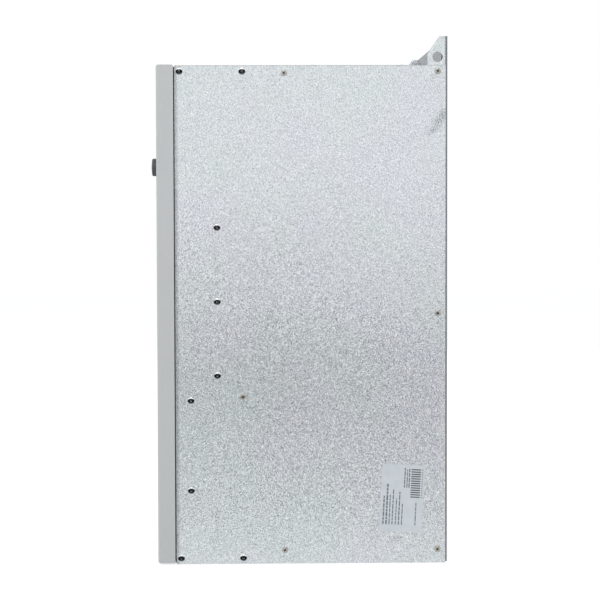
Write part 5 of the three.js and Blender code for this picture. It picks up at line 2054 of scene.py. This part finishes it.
@dataclass
class CableBush:
    """A rubber bush: a wall through the hole with a rounded lip on each side of the plate.

    Attributes:
        wall: The thickness of its wall.
        lip: How far its lips reach past the hole.
        lip_height: The height of a lip.
    """

    wall: float = 5 * MM
    lip: float = 4 * MM
    lip_height: float = 2 * MM

    def build(self, node: str) -> Piece:
        """Makes the bush that stands for a node.

        Args:
            node: The node.

        Returns:
            The bush.
        """
        low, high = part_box(node)
        middle = (low + high) / 2
        outer = (high.x - low.x) / 2 - self.lip
        inner, lip = outer - self.wall, outer + self.lip
        under, over = low.z + self.lip_height, high.z - self.lip_height
        rings = [(inner + 0.3 * self.wall, low.z), (lip - 0.8 * MM, low.z), (lip - 0.2 * MM, low.z + 0.3 * MM),
                 (lip, low.z + 0.9 * MM), (lip, under), (outer, under), (outer, over), (lip, over),
                 (lip, high.z - 0.9 * MM), (lip - 0.2 * MM, high.z - 0.3 * MM), (lip - 0.8 * MM, high.z),
                 (inner + 0.3 * self.wall, high.z), (inner, high.z - 0.7 * MM), (inner, low.z + 0.7 * MM)]
        rings.append(rings[0])
        place = Matrix.Translation((middle.x, middle.y, 0))
        bush = turned(node.replace("cable_bush", "bush_ring"), rings, 64, place)
        return dress(smooth(bush, 40), BUSH_RUBBER, CASE, [node])


# Keypad


class Mark(Enum):
    """The plain marks on the keys."""

    UP = "up"
    DOWN = "down"
    RIGHT = "right"
    LINES = "lines"
    CORNER = "corner"
    DOT = "dot"
    BAR = "bar"
    RING = "ring"


@dataclass
class Keypad:
    """The keypad: its housing, window, digits, dial ticks and keys.

    Attributes:
        bezel_corner: The radius of its corners.
        bezel: How far the bezel reaches past the body.
        wall: The thickness of its walls.
        clearance: The gap round a key and round the window.
        key_corner: The radius of the corners of keys and window.
        key_rim: How far a key's rim reaches past its cap.
        lens_ledge: The ledge that the window lies on.
        lens_sheet: The depth of the window's seat.
        bushing: The radius of the knob's hole.
        rim_sheet: The thickness of a key's rim.
        marks: The mark of each key.
        finishes: The finish and the slot of the keys that aren't grey.
    """

    bezel_corner: float = 5 * MM
    bezel: float = 3 * MM
    wall: float = 2 * MM
    clearance: float = 0.3 * MM
    key_corner: float = 2 * MM
    key_rim: float = 1.4 * MM
    lens_ledge: float = 3 * MM
    lens_sheet: float = 1.2 * MM
    bushing: float = 4.8 * MM
    rim_sheet: float = 1.5 * MM
    marks: dict[str, Mark] = field(default_factory=lambda: {
        "key_program": Mark.LINES, "key_up": Mark.UP, "key_enter": Mark.CORNER, "key_shift": Mark.RIGHT,
        "key_jog": Mark.DOT, "key_run": Mark.BAR, "key_down": Mark.DOWN, "key_stop": Mark.RING})
    finishes: dict[str, tuple[Finish, str]] = field(default_factory=lambda: {
        "key_run": (KEY_GREEN, "key_green"), "key_stop": (KEY_RED, "key_red")})

    def build(self) -> None:
        """Makes every piece of the keypad."""
        self.housing()
        self.window()
        self.digits()
        self.ticks()
        for node, mark in self.marks.items():
            self.key(node, mark)

    def key_size(self, node: str) -> tuple[float, float, float, float]:
        """Gives the middle, the width and the height of a key's cap.

        Args:
            node: The key's node.

        Returns:
            Middle x, middle z, width and height.
        """
        low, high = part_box(node)
        return ((low.x + high.x) / 2, (low.z + high.z) / 2, high.x - low.x - 2 * self.key_rim,
                high.z - low.z - 2 * self.key_rim)

    def housing(self) -> Piece:
        """Makes the housing: a bezel over the cover and a hollow body behind it.

        Returns:
            The housing.
        """
        low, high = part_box("keypad_housing")
        face, rear = low.y, high.y
        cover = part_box("front_cover")[0].y
        middle, width, height = (low.z + high.z) / 2, high.x - low.x, high.z - low.z
        outline = rounded_outline(0, middle, width, height, self.bezel_corner, 8)
        bezel = prism("keypad_case", outline, Plane.XZ, face, cover - self.clearance)
        round_front(bezel, face, 1.1 * MM, 5)
        body_width, body_height = width - 2 * self.bezel, height - 2 * self.bezel
        body = rounded_outline(0, middle, body_width, body_height, self.bezel_corner)
        combine(bezel, prism("body", body, Plane.XZ, face + self.wall / 2, rear), "UNION")
        inner = rounded_outline(0, middle, body_width - 2 * self.wall, body_height - 2 * self.wall,
                                self.bezel_corner - self.wall)
        combine(bezel, prism("hollow", inner, Plane.XZ, face + self.wall, rear + self.wall))
        start, end = face - self.wall, face + 2 * self.wall
        for node in self.marks:
            x, z, key_width, key_height = self.key_size(node)
            outline = rounded_outline(x, z, key_width + 2 * self.clearance, key_height + 2 * self.clearance,
                                      self.key_corner)
            combine(bezel, prism("key_hole", outline, Plane.XZ, start, end))
        lens_low, lens_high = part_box("keypad_window")
        lens_z = (lens_low.z + lens_high.z) / 2
        lens = (lens_high.x - lens_low.x, lens_high.z - lens_low.z)
        for name, margin, rear_end in (("seat", self.clearance, face + self.lens_sheet),
                                       ("sight", -self.lens_ledge, end)):
            outline = rounded_outline(0, lens_z, lens[0] + 2 * margin, lens[1] + 2 * margin, self.key_corner)
            combine(bezel, prism(name, outline, Plane.XZ, start, rear_end))
        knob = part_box("knob")
        hole = ring_outline(0, (knob[0].z + knob[1].z) / 2, self.bushing, 32)
        combine(bezel, prism("bushing", hole, Plane.XZ, start, end))
        soften(bezel, 0.3)
        smooth(bezel)
        return dress(bezel, KEYPAD_ABS, CASE, ["keypad_housing"])

    def window(self) -> Piece:
        """Makes the display window with a slightly rounded edge.

        Returns:
            The window.
        """
        low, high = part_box("keypad_window")
        outline = rounded_outline(0, (low.z + high.z) / 2, high.x - low.x, high.z - low.z, self.key_corner)
        window = prism("display_window", outline, Plane.XZ, low.y, high.y)
        soften(window, 0.25, 3)
        return dress(smooth(window), RED_ACRYLIC, CASE, ["keypad_window"])

    def digits(self) -> Piece:
        """Makes the unlit segments of the five digits, flat on the digit block behind the window.

        Returns:
            The segments.
        """
        low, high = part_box("keypad_window")
        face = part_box("keypad_board")[0].y
        middle_z = (low.z + high.z) / 2
        width = high.x - low.x - 2 * self.lens_ledge
        pitch, half_w, half_h, stroke = width / 5, 2.6 * MM, 4.4 * MM, 0.5 * MM
        parts = []
        for digit in range(5):
            x = (digit - 2) * pitch
            bars = [(x, middle_z + row * half_h, half_w - stroke, stroke) for row in (-1, 0, 1)]
            bars += [(x + side * half_w, middle_z + row * half_h / 2, stroke, half_h / 2 - stroke)
                     for side in (-1, 1) for row in (-1, 1)]
            for bar_x, bar_z, reach, rise in bars:
                bar = rounded_outline(bar_x, bar_z, 2 * reach, 2 * rise, 0.3 * MM, 2)
                parts.append(prism("bar", bar, Plane.XZ, face - 0.15 * MM, face + 0.2 * MM))
            dot = ring_outline(x + half_w + 1.3 * MM, middle_z - half_h, 0.45 * MM, 12)
            parts.append(prism("dot", dot, Plane.XZ, face - 0.15 * MM, face + 0.2 * MM))
        return dress(smooth(joined("display_segments", *parts)), DIGIT_SEGMENT)

    def ticks(self) -> Piece:
        """Makes the printed dial ticks round the knob.

        Returns:
            The ticks.
        """
        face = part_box("keypad_housing")[0].y
        low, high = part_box("knob")
        centre_z, radius = (low.z + high.z) / 2, (high.z - low.z) / 2
        parts = []
        for step in range(11):
            angle = math.radians(225 - step * 27)
            longer = 0.5 * MM if step % 5 == 0 else 0.0
            tick = slab("tick", (radius + 0.8 * MM, face - 0.05 * MM, -0.22 * MM),
                        (radius + 2.0 * MM + longer, face + 0.05 * MM, 0.22 * MM))
            turn = Matrix.Rotation(-angle, 4, "Y")
            parts.append(moved(tick, "tick", Matrix.Translation((0, 0, centre_z)) @ turn))
        return dress(joined("dial_ticks", *parts), PRINT_WHITE)

    def key(self, node: str, mark: Mark) -> Piece:
        """Makes a key with a crowned cap, a rim that stops it and a printed mark.

        Args:
            node: The key's node.
            mark: Its mark.

        Returns:
            The key.
        """
        low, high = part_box(node)
        x, z, width, height = self.key_size(node)
        rim_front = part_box("keypad_housing")[0].y + self.wall + self.clearance
        cap = prism(f"{node}_cap", rounded_outline(x, z, width, height, self.key_corner), Plane.XZ, low.y,
                    rim_front + self.rim_sheet / 2)
        round_front(cap, low.y, MM, 5, profile=0.62)
        rim = prism("rim", rounded_outline(x, z, high.x - low.x, high.z - low.z, self.key_corner), Plane.XZ,
                    rim_front, rim_front + self.rim_sheet)
        combine(cap, rim, "UNION")
        finish, slot = self.finishes.get(node, (KEY_GREY, "key_grey"))
        dress(smooth(cap), finish, node, [node])
        ink = PRINT_WHITE if node in self.finishes else PRINT_DARK
        return dress(self.sign(mark, f"{node}_mark", x, low.y, z), ink, node)

    def sign(self, mark: Mark, name: str, x: float, face: float, z: float) -> Piece:
        """Makes a key's mark as a thin print.

        Args:
            mark: The mark.
            name: The name of the piece.
            x: The key's middle across.
            face: The key's front face.
            z: The key's middle height.

        Returns:
            The mark.
        """
        start, end = face - 0.04 * MM, face + 0.1 * MM
        size = 1.8 * MM

        def flat(outline: Outline) -> Piece:
            """Prints one outline."""
            return prism("ink", outline, Plane.XZ, start, end)

        if mark in (Mark.UP, Mark.DOWN):
            way = 1 if mark is Mark.UP else -1
            return joined(name, flat([(x - size, z - way * 0.7 * size), (x + size, z - way * 0.7 * size),
                                      (x, z + way * 0.9 * size)]))
        if mark is Mark.RIGHT:
            return joined(name, *[flat([(x + shift, z - size * 0.8), (x + shift + size * 0.9, z),
                                        (x + shift, z + size * 0.8), (x + shift + 0.35 * size, z)])
                                  for shift in (-size, 0.0)])
        if mark is Mark.LINES:
            return joined(name, *[flat(rounded_outline(x, z + row * 1.3 * MM, 2 * size, 0.5 * MM, 0.2 * MM, 2))
                                  for row in (-1, 0, 1)])
        if mark is Mark.CORNER:
            bar = flat(rounded_outline(x + 0.2 * size, z - 0.3 * size, 1.8 * size, 0.5 * MM, 0.2 * MM, 2))
            post = flat(rounded_outline(x + 1.05 * size, z + 0.25 * size, 0.5 * MM, 1.3 * size, 0.2 * MM, 2))
            head = flat([(x - 1.1 * size, z - 0.3 * size), (x - 0.4 * size, z - 0.8 * size),
                         (x - 0.4 * size, z + 0.2 * size)])
            return joined(name, bar, post, head)
        if mark is Mark.BAR:
            return joined(name, flat(rounded_outline(x, z, 0.8 * MM, 2.1 * size, 0.3 * MM, 3)))
        disc = flat(ring_outline(x, z, size * (0.45 if mark is Mark.DOT else 1.0), 40))
        if mark is Mark.RING:
            inner = ring_outline(x, z, size - 0.6 * MM, 40)
            combine(disc, prism("inner", inner, Plane.XZ, start - MM, end + MM))
        return joined(name, disc)


@dataclass
class Knob:
    """The speed knob: a fluted grip, a raised ring on its face and a pointer line.

    Attributes:
        flutes: The number of flutes.
        flute_depth: Their depth.
        flute_radius: The radius of a flute's section.
        ring: The outer radius of the raised ring.
        rise: Its height.
        taper: The radius at the front as a share of that at the back.
        round_off: The radius of the front edge.
        lift: The gap between the knob and the bezel.
        spindle: The radius of the spindle.
    """

    flutes: int = 18
    flute_depth: float = 0.8 * MM
    flute_radius: float = 1.35 * MM
    ring: float = 3.8 * MM
    rise: float = 0.55 * MM
    taper: float = 0.955
    round_off: float = 1.7 * MM
    lift: float = 0.6 * MM
    spindle: float = 2.7 * MM

    def build(self) -> Piece:
        """Makes the knob.

        Returns:
            The knob.
        """
        low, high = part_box("knob")
        front, radius = low.y, (high.z - low.z) / 2
        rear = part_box("keypad_housing")[0].y - self.lift
        length = rear - front
        body = length - self.rise
        place = facing("Y", (0, rear, (low.z + high.z) / 2), -1)
        tail = rear - high.y
        rings = [(0, tail), (self.spindle, tail), (self.spindle, 0), (radius - 0.3 * MM, 0), (radius, 0.3 * MM)]
        edge, steps = radius * self.taper, 6
        for step in range(steps + 1):
            angle = step / steps * math.pi / 2
            rings.append((edge - self.round_off * (1 - math.cos(angle)),
                          body - self.round_off * (1 - math.sin(angle))))
        rings += [(self.ring, body), (self.ring - 0.15 * MM, body + self.rise * 0.85),
                  (self.ring - 0.35 * MM, body + self.rise), (self.ring - 0.9 * MM, body + self.rise),
                  (self.ring - 1.1 * MM, body + self.rise * 0.75), (self.ring - 1.2 * MM, body + 0.1 * MM),
                  (0, body + 0.1 * MM)]
        grip = turned("knob_grip", rings, 144, Matrix.Identity(4))
        reach = radius + self.flute_radius - self.flute_depth
        for index in range(self.flutes):
            angle = (index + 0.5) * 2 * math.pi / self.flutes
            outline = ring_outline(reach * math.cos(angle), reach * math.sin(angle), self.flute_radius, 16)
            combine(grip, prism("flute", outline, Plane.XY, -MM, body + MM))
        soften(grip, 0.12, 2, 35)
        dress(smooth(moved(grip, "knob_grip", place), 40), KNOB_ABS, "knob", ["knob"])
        line = slab("knob_pointer", (-0.45 * MM, self.ring + 0.4 * MM, body - 0.1 * MM),
                    (0.45 * MM, edge - self.round_off - 0.3 * MM, body + 0.06 * MM))
        soften(line, 0.05, 2)
        half_turn = Matrix.Rotation(math.pi, 4, "Z")
        return dress(moved(line, "knob_pointer", place @ half_turn), PRINT_WHITE, "knob")


@dataclass
class RatingLabel:
    """A label without words on the right side panel: dashed rows where text would be, and even stripes.

    The rows stand upright, because the label is stuck on sideways.

    Attributes:
        shell: The planes of the case.
        width: Its width.
        height: Its height.
        depth: How far its middle is in front of the wall, in millimetres.
        rise: The height of its middle.
        lean: Its tilt in radians.
        film: The thickness of the film.
        ink: The thickness of the print.
        foot: How far the rows end above the label's lower edge.
        rows: Y of each long row from the middle, its length as a share of the label's height, and half its width.
        top_rows: The same for the short rows beside the stripes, which end at top_foot.
        top_foot: Where the short rows end, from the middle.
        ticks: Y of the row of short ticks beside the stripes.
        stripes: The number of even stripes.
        stripe_box: The lowest and the highest corner of the stripes, from the middle.
        tick_half: Half the length of a tick.
        fills: How much of the pitch a tick and a stripe take.
        dashes: The shortest and the longest dash, in millimetres.
        gap: The gap between dashes.
        seed: The seed of the dashes' lengths.
    """

    shell: Shell
    width: float = 49.5 * MM
    height: float = 79 * MM
    depth: float = 53.0
    rise: float = 75.8 * MM
    lean: float = math.radians(-3.0)
    film: float = 0.12 * MM
    ink: float = 0.03 * MM
    foot: float = 8.4 * MM
    rows: tuple[tuple[float, float, float], ...] = (
        (-21.0 * MM, 0.42, 0.85 * MM), (-17.4 * MM, 0.6, 0.95 * MM), (-13.9 * MM, 0.44, 0.6 * MM),
        (-10.4 * MM, 0.52, 0.65 * MM), (-6.5 * MM, 0.39, 0.6 * MM), (-2.9 * MM, 0.49, 0.7 * MM),
        (0.7 * MM, 0.31, 0.6 * MM), (16.5 * MM, 0.34, 0.6 * MM))
    top_rows: tuple[tuple[float, float, float], ...] = ((2.0 * MM, 0.29, 0.7 * MM), (4.8 * MM, 0.27, 0.6 * MM),
                                                        (7.3 * MM, 0.28, 0.7 * MM))
    top_foot: float = 12.8 * MM
    ticks: float = 22.4 * MM
    stripes: int = 13
    stripe_box: tuple[tuple[float, float], tuple[float, float]] = ((9.4 * MM, 1.4 * MM), (20.4 * MM, 36.2 * MM))
    tick_half: float = 0.7 * MM
    fills: tuple[float, float] = (0.4, 0.48)
    dashes: tuple[float, float] = (2.4, 7.5)
    gap: float = 0.9 * MM
    seed: int = 7

    def build(self) -> None:
        """Makes the film, its rows and its stripes."""
        place = (Matrix.Translation((self.shell.half, self.shell.depth(self.depth), self.rise))
                 @ Matrix.Rotation(self.lean, 4, "X"))
        outline = rounded_outline(0, 0, self.width, self.height, 2 * MM, 6)
        film = prism("label_film", outline, Plane.YZ, 0.0, self.film)
        draw = random.Random(self.seed)
        dashes = []
        for y, share, half in self.rows:
            dashes += self.dashed(draw, (y - half, y + half), -self.height / 2 + self.foot, share * self.height)
        for y, share, half in self.top_rows:
            dashes += self.dashed(draw, (y - half, y + half), self.top_foot, share * self.height)
        low, high = self.stripe_box
        pitch = (high[1] - low[1]) / self.stripes
        tick_fill, stripe_fill = self.fills
        feet = [low[1] + index * pitch for index in range(self.stripes)]
        start, end = self.ticks - self.tick_half, self.ticks + self.tick_half
        dashes += [self.print((start, foot), (end, foot + tick_fill * pitch)) for foot in feet]
        bars = [self.print((low[0], foot), (high[0], foot + stripe_fill * pitch)) for foot in feet]
        for name, pieces, finish in (("label_film", [film], LABEL_FILM), ("label_rows", dashes, PRINT_GREY),
                                     ("label_stripes", bars, PRINT_DARK)):
            dress(moved(joined(name, *pieces), name, place), finish)

    def print(self, low: tuple[float, float], high: tuple[float, float]) -> Piece:
        """Prints one bar on the film between two corners."""
        return slab("bar", (self.film, *low), (self.film + self.ink, *high))

    def dashed(self, draw: random.Random, sides: tuple[float, float], start: float,
               length: float) -> list[Piece]:
        """Makes one upright row of dashes.

        Args:
            draw: The seeded source of the lengths.
            sides: The row's two sides across the label.
            start: Its lower end.
            length: Its length.

        Returns:
            The dashes.
        """
        dashes, end = [], start + length
        while start < end - self.gap:
            reach = min(draw.uniform(*self.dashes) * MM, end - start)
            dashes.append(self.print((sides[0], start), (sides[1], start + reach)))
            start += reach + self.gap
        return dashes


# The nodes that stay as they are, and their finishes
NODE_FINISHES: dict[str, Finish] = {
    "galvanised_sheet": ZINC_SHEET, "cover_paint": POWDER_COAT, "bush_rubber": BUSH_RUBBER,
    "sink_aluminium": EXTRUDED_ALUMINIUM, "black_moulding": BLACK_POLYAMIDE, "can_aluminium": DRAWN_ALUMINIUM,
    "copper": ROLLED_COPPER, "core_iron": VARNISHED_IRON, "board_laminate": SOLDER_MASK,
    "terminal_green": TERMINAL_PA, "fan_moulding": BLACK_POLYAMIDE, "guard_wire": PLATED_WIRE,
    "keypad_moulding": KEYPAD_ABS, "display_lens": RED_ACRYLIC, "key_grey": KEY_GREY, "key_green": KEY_GREEN,
    "key_red": KEY_RED, "knob_moulding": KNOB_ABS,
}
OWN_FINISHES: dict[str, Finish] = {"choke_coil_right": ENAMELLED_WIRE, "choke_coil_left": ENAMELLED_WIRE}


def dress_nodes() -> None:
    """Gives every carried-over node the material of its slot in the record."""
    slots = {part["node"]: part["material_slot"] for part in frame["record"]["subparts"]}
    for name, node in frame["nodes"].items():
        finish = OWN_FINISHES.get(name, NODE_FINISHES[slots[name]])
        material = finish.build()
        if not node.material_slots:
            node.data.materials.append(material)
        for slot in node.material_slots:
            slot.material = material
        log.info("%s keeps its shape, %s", name, finish.name)


# Studio


def swung(first: Vector, second: Vector, degrees: float) -> tuple[Vector, Vector]:
    """Turns two directions in their own plane, the first towards the second."""
    share, rest = math.sin(math.radians(degrees)), math.cos(math.radians(degrees))
    return first * rest + second * share, second * rest - first * share


@dataclass
class Studio:
    """The floor, the soft lamps, the world and the camera at the photograph's angle.

    Attributes:
        shell: The planes of the case.
        distance: How far the camera is from the right side panel.
        depth: How far the camera is in front of the wall, in millimetres.
        height: Its height.
        focal: The focal length in pixels of the photograph.
        yaw: Its turn to the wall, in degrees.
        pitch: Its downward tilt, in degrees.
        roll: Its roll, in degrees.
        shift: The camera's shift in pixels of the photograph.
        world_light: The strength of the world's even light.
        gloss_light: The strength of the world that gloss mirrors.
        floor_gloss: The strength of the floor that gloss mirrors.
        floor_glow: The floor's own light where the camera sees it.
        gobo_low: The lowest corner of the dark screen.
        gobo_high: Its highest corner.
        gobo_fade: The height from which its patches thin out.
        gobo_share: The noise level above which there is cloth, up to that height.
        gobo_patch: The size of its patches.
    """

    shell: Shell
    distance: float = 1.8476
    depth: float = 237.67
    height: float = 0.4125
    focal: float = 1593.4
    yaw: float = 0.996
    pitch: float = 2.166
    roll: float = -0.1716
    shift: tuple[float, float] = (29.08, -29.4)
    world_light: float = 0.62
    gloss_light: float = 1.1
    floor_gloss: float = 1.04
    floor_glow: float = 0.72
    gobo_low: tuple[float, float, float] = (0.85, -1.5, 0.0)
    gobo_high: tuple[float, float, float] = (0.854, 1.5, 0.6)
    gobo_fade: float = 0.24
    gobo_share: float = 0.552
    gobo_patch: float = 0.095

    def camera(self) -> Piece:
        """Makes the camera.

        Returns:
            The camera.
        """
        data = bpy.data.cameras.new("camera")
        data.sensor_width = 36.0
        data.lens = self.focal / PHOTO_SIZE * data.sensor_width
        data.shift_x, data.shift_y = self.shift[0] / PHOTO_SIZE, self.shift[1] / PHOTO_SIZE
        data.clip_start, data.clip_end = 0.05, 50.0
        camera = bpy.data.objects.new("camera", data)
        bpy.context.scene.collection.objects.link(camera)
        right, up, ahead = Vector((0, 1, 0)), Vector((0, 0, 1)), Vector((-1, 0, 0))
        ahead, right = swung(ahead, right, self.yaw)
        ahead, up = swung(ahead, up, -self.pitch)
        right, up = swung(right, up, self.roll)
        place = Matrix((right, up, -ahead)).transposed().to_4x4()
        place.translation = (self.shell.half + self.distance, self.shell.depth(self.depth), self.height)
        camera.matrix_world = place
        bpy.context.scene.camera = camera
        return camera

    def lamp(self, name: str, spot: Sequence[float], aim: Sequence[float], size: float, power: float,
             glossy: bool = True) -> None:
        """Makes one soft area lamp.

        Args:
            name: Its name.
            spot: Its place.
            aim: The point that it lights.
            size: The side of its square.
            power: Its power in watts.
            glossy: Whether gloss mirrors it.
        """
        data = bpy.data.lights.new(name, "AREA")
        data.shape, data.size, data.energy = "SQUARE", size, power
        lamp = bpy.data.objects.new(name, data)
        bpy.context.scene.collection.objects.link(lamp)
        lamp.location = spot
        lamp.rotation_euler = (Vector(aim) - Vector(spot)).to_track_quat("-Z", "Y").to_euler()
        lamp.visible_glossy = glossy

    def world(self) -> None:
        """Makes the world: an even light, and white where the camera, gloss or glass sees it."""
        world = bpy.data.worlds.new("studio")
        bpy.context.scene.world = world
        world.use_nodes = True
        tree = world.node_tree
        tree.nodes.clear()
        soft = add_node(tree, "Background", {"Color": linear("#fbfcff"), "Strength": self.world_light})
        gloss = add_node(tree, "Background", {"Color": linear("#ffffff"), "Strength": self.gloss_light})
        white = add_node(tree, "Background", {"Color": linear("#ffffff"), "Strength": 1.0})
        add_node(tree, "OutputWorld", {}, {"Surface": self.by_ray(tree, soft, gloss, white)})

    def by_ray(self, tree: Tree, unseen: Node, gloss: Node,
               shown: Node) -> Socket:
        """Chooses between three shaders by the kind of ray.

        Args:
            tree: The node tree.
            unseen: What lights the object.
            gloss: What gloss mirrors.
            shown: What the camera sees, also through glass.

        Returns:
            The socket with the shader.
        """
        path = add_node(tree, "LightPath")
        straight = reckon(tree, "MAXIMUM", path.outputs["Is Camera Ray"], path.outputs["Is Transmission Ray"])
        rest = add_node(tree, "MixShader", {}, {0: path.outputs["Is Glossy Ray"], 1: unseen.outputs[0],
                                                2: gloss.outputs[0]})
        return add_node(tree, "MixShader", {}, {0: straight, 1: rest.outputs[0], 2: shown.outputs[0]}).outputs[0]

    def floor(self) -> Piece:
        """Makes the pale floor, which keeps the object's shadow.

        Returns:
            The floor.
        """
        deselect_all()
        bpy.ops.mesh.primitive_plane_add(size=12, location=(0, 0, -0.0006))
        floor = settle("floor")
        material = blank_material("pale_floor")
        tree = material.node_tree
        paint = add_node(tree, "BsdfDiffuse", {"Color": linear("#b4b4b4")})
        glow = add_node(tree, "Emission", {"Color": linear("#ffffff"), "Strength": self.floor_glow})
        lit = add_node(tree, "AddShader", {}, {0: paint.outputs[0], 1: glow.outputs[0]})
        plain = add_node(tree, "BsdfDiffuse", {"Color": linear("#eaeaea")})
        gloss = add_node(tree, "Emission", {"Color": linear("#ffffff"), "Strength": self.floor_gloss})
        add_node(tree, "OutputMaterial", {}, {"Surface": self.by_ray(tree, plain, gloss, lit)})
        floor.data.materials.append(material)
        return floor

    def gobo(self) -> None:
        """Stands a broken dark screen that only gloss sees, so that the zinc crystals sparkle at mid height."""
        deselect_all()
        low, high = self.gobo_low, self.gobo_high
        screen = slab("gobo", low, high)
        material = blank_material("gobo")
        tree = material.node_tree
        spots = add_node(tree, "TexCoord").outputs["Object"]
        rise = add_node(tree, "SeparateXYZ", {}, {0: spots}).outputs[2]
        level = fade(tree, rise, self.gobo_fade, high[2], self.gobo_share, 1.0)
        patches = add_node(tree, "TexNoise", {"Scale": 1 / self.gobo_patch, "Detail": 0.0}, {"Vector": spots})
        cut = reckon(tree, "GREATER_THAN", patches.outputs["Fac"], level)
        cloth = add_node(tree, "BsdfDiffuse", {"Color": linear("#0c0d0d")})
        clear = add_node(tree, "BsdfTransparent")
        mixed = add_node(tree, "MixShader", {}, {0: cut, 1: clear.outputs[0], 2: cloth.outputs[0]})
        add_node(tree, "OutputMaterial", {}, {"Surface": mixed.outputs[0]})
        screen.data.materials.append(material)
        screen.visible_camera = screen.visible_diffuse = screen.visible_shadow = False
        screen.visible_transmission = screen.visible_volume_scatter = False

    def build(self) -> None:
        """Makes the whole studio."""
        self.world()
        self.floor()
        self.gobo()
        self.lamp("highlight", (1.3, -0.2, 2.3), (0.1, 0, 0.3), 0.7, 7)
        self.lamp("side_soft", (2.6, 0.3, 0.2), (0.1, 0, 0.25), 1.8, 24, glossy=False)
        self.lamp("front_fill", (0.3, -2.4, 1.0), (0, 0, 0.3), 1.6, 12)
        self.lamp("left_fill", (-2.4, 0.2, 1.2), (0, 0, 0.3), 1.6, 12, glossy=False)
        self.camera()
        bpy.context.scene.view_settings.view_transform = "Standard"


def main() -> None:
    """Builds the pieces in order and reports each one."""
    logging.basicConfig(level=logging.INFO, format="%(name)s %(message)s")
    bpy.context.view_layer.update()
    shell = Shell()
    dress_nodes()
    for side in Side:
        SidePanel(shell).build(side)
    BackPlate(shell).build()
    plates = EndPlates(shell)
    for upper in (True, False):
        plates.front_plate(upper)
        plates.duct_plate(upper)
    cover = FrontCover()
    cover.build()
    for name in BUSHES:
        CableBush().build(name)
    for side in Side:
        Fan(side).build()
    Keypad().build()
    Knob().build()
    Fasteners(shell).build(cover)
    RatingLabel(shell).build()
    Studio(shell).build()
    deselect_all()


if __name__ == "__main__":
    main()
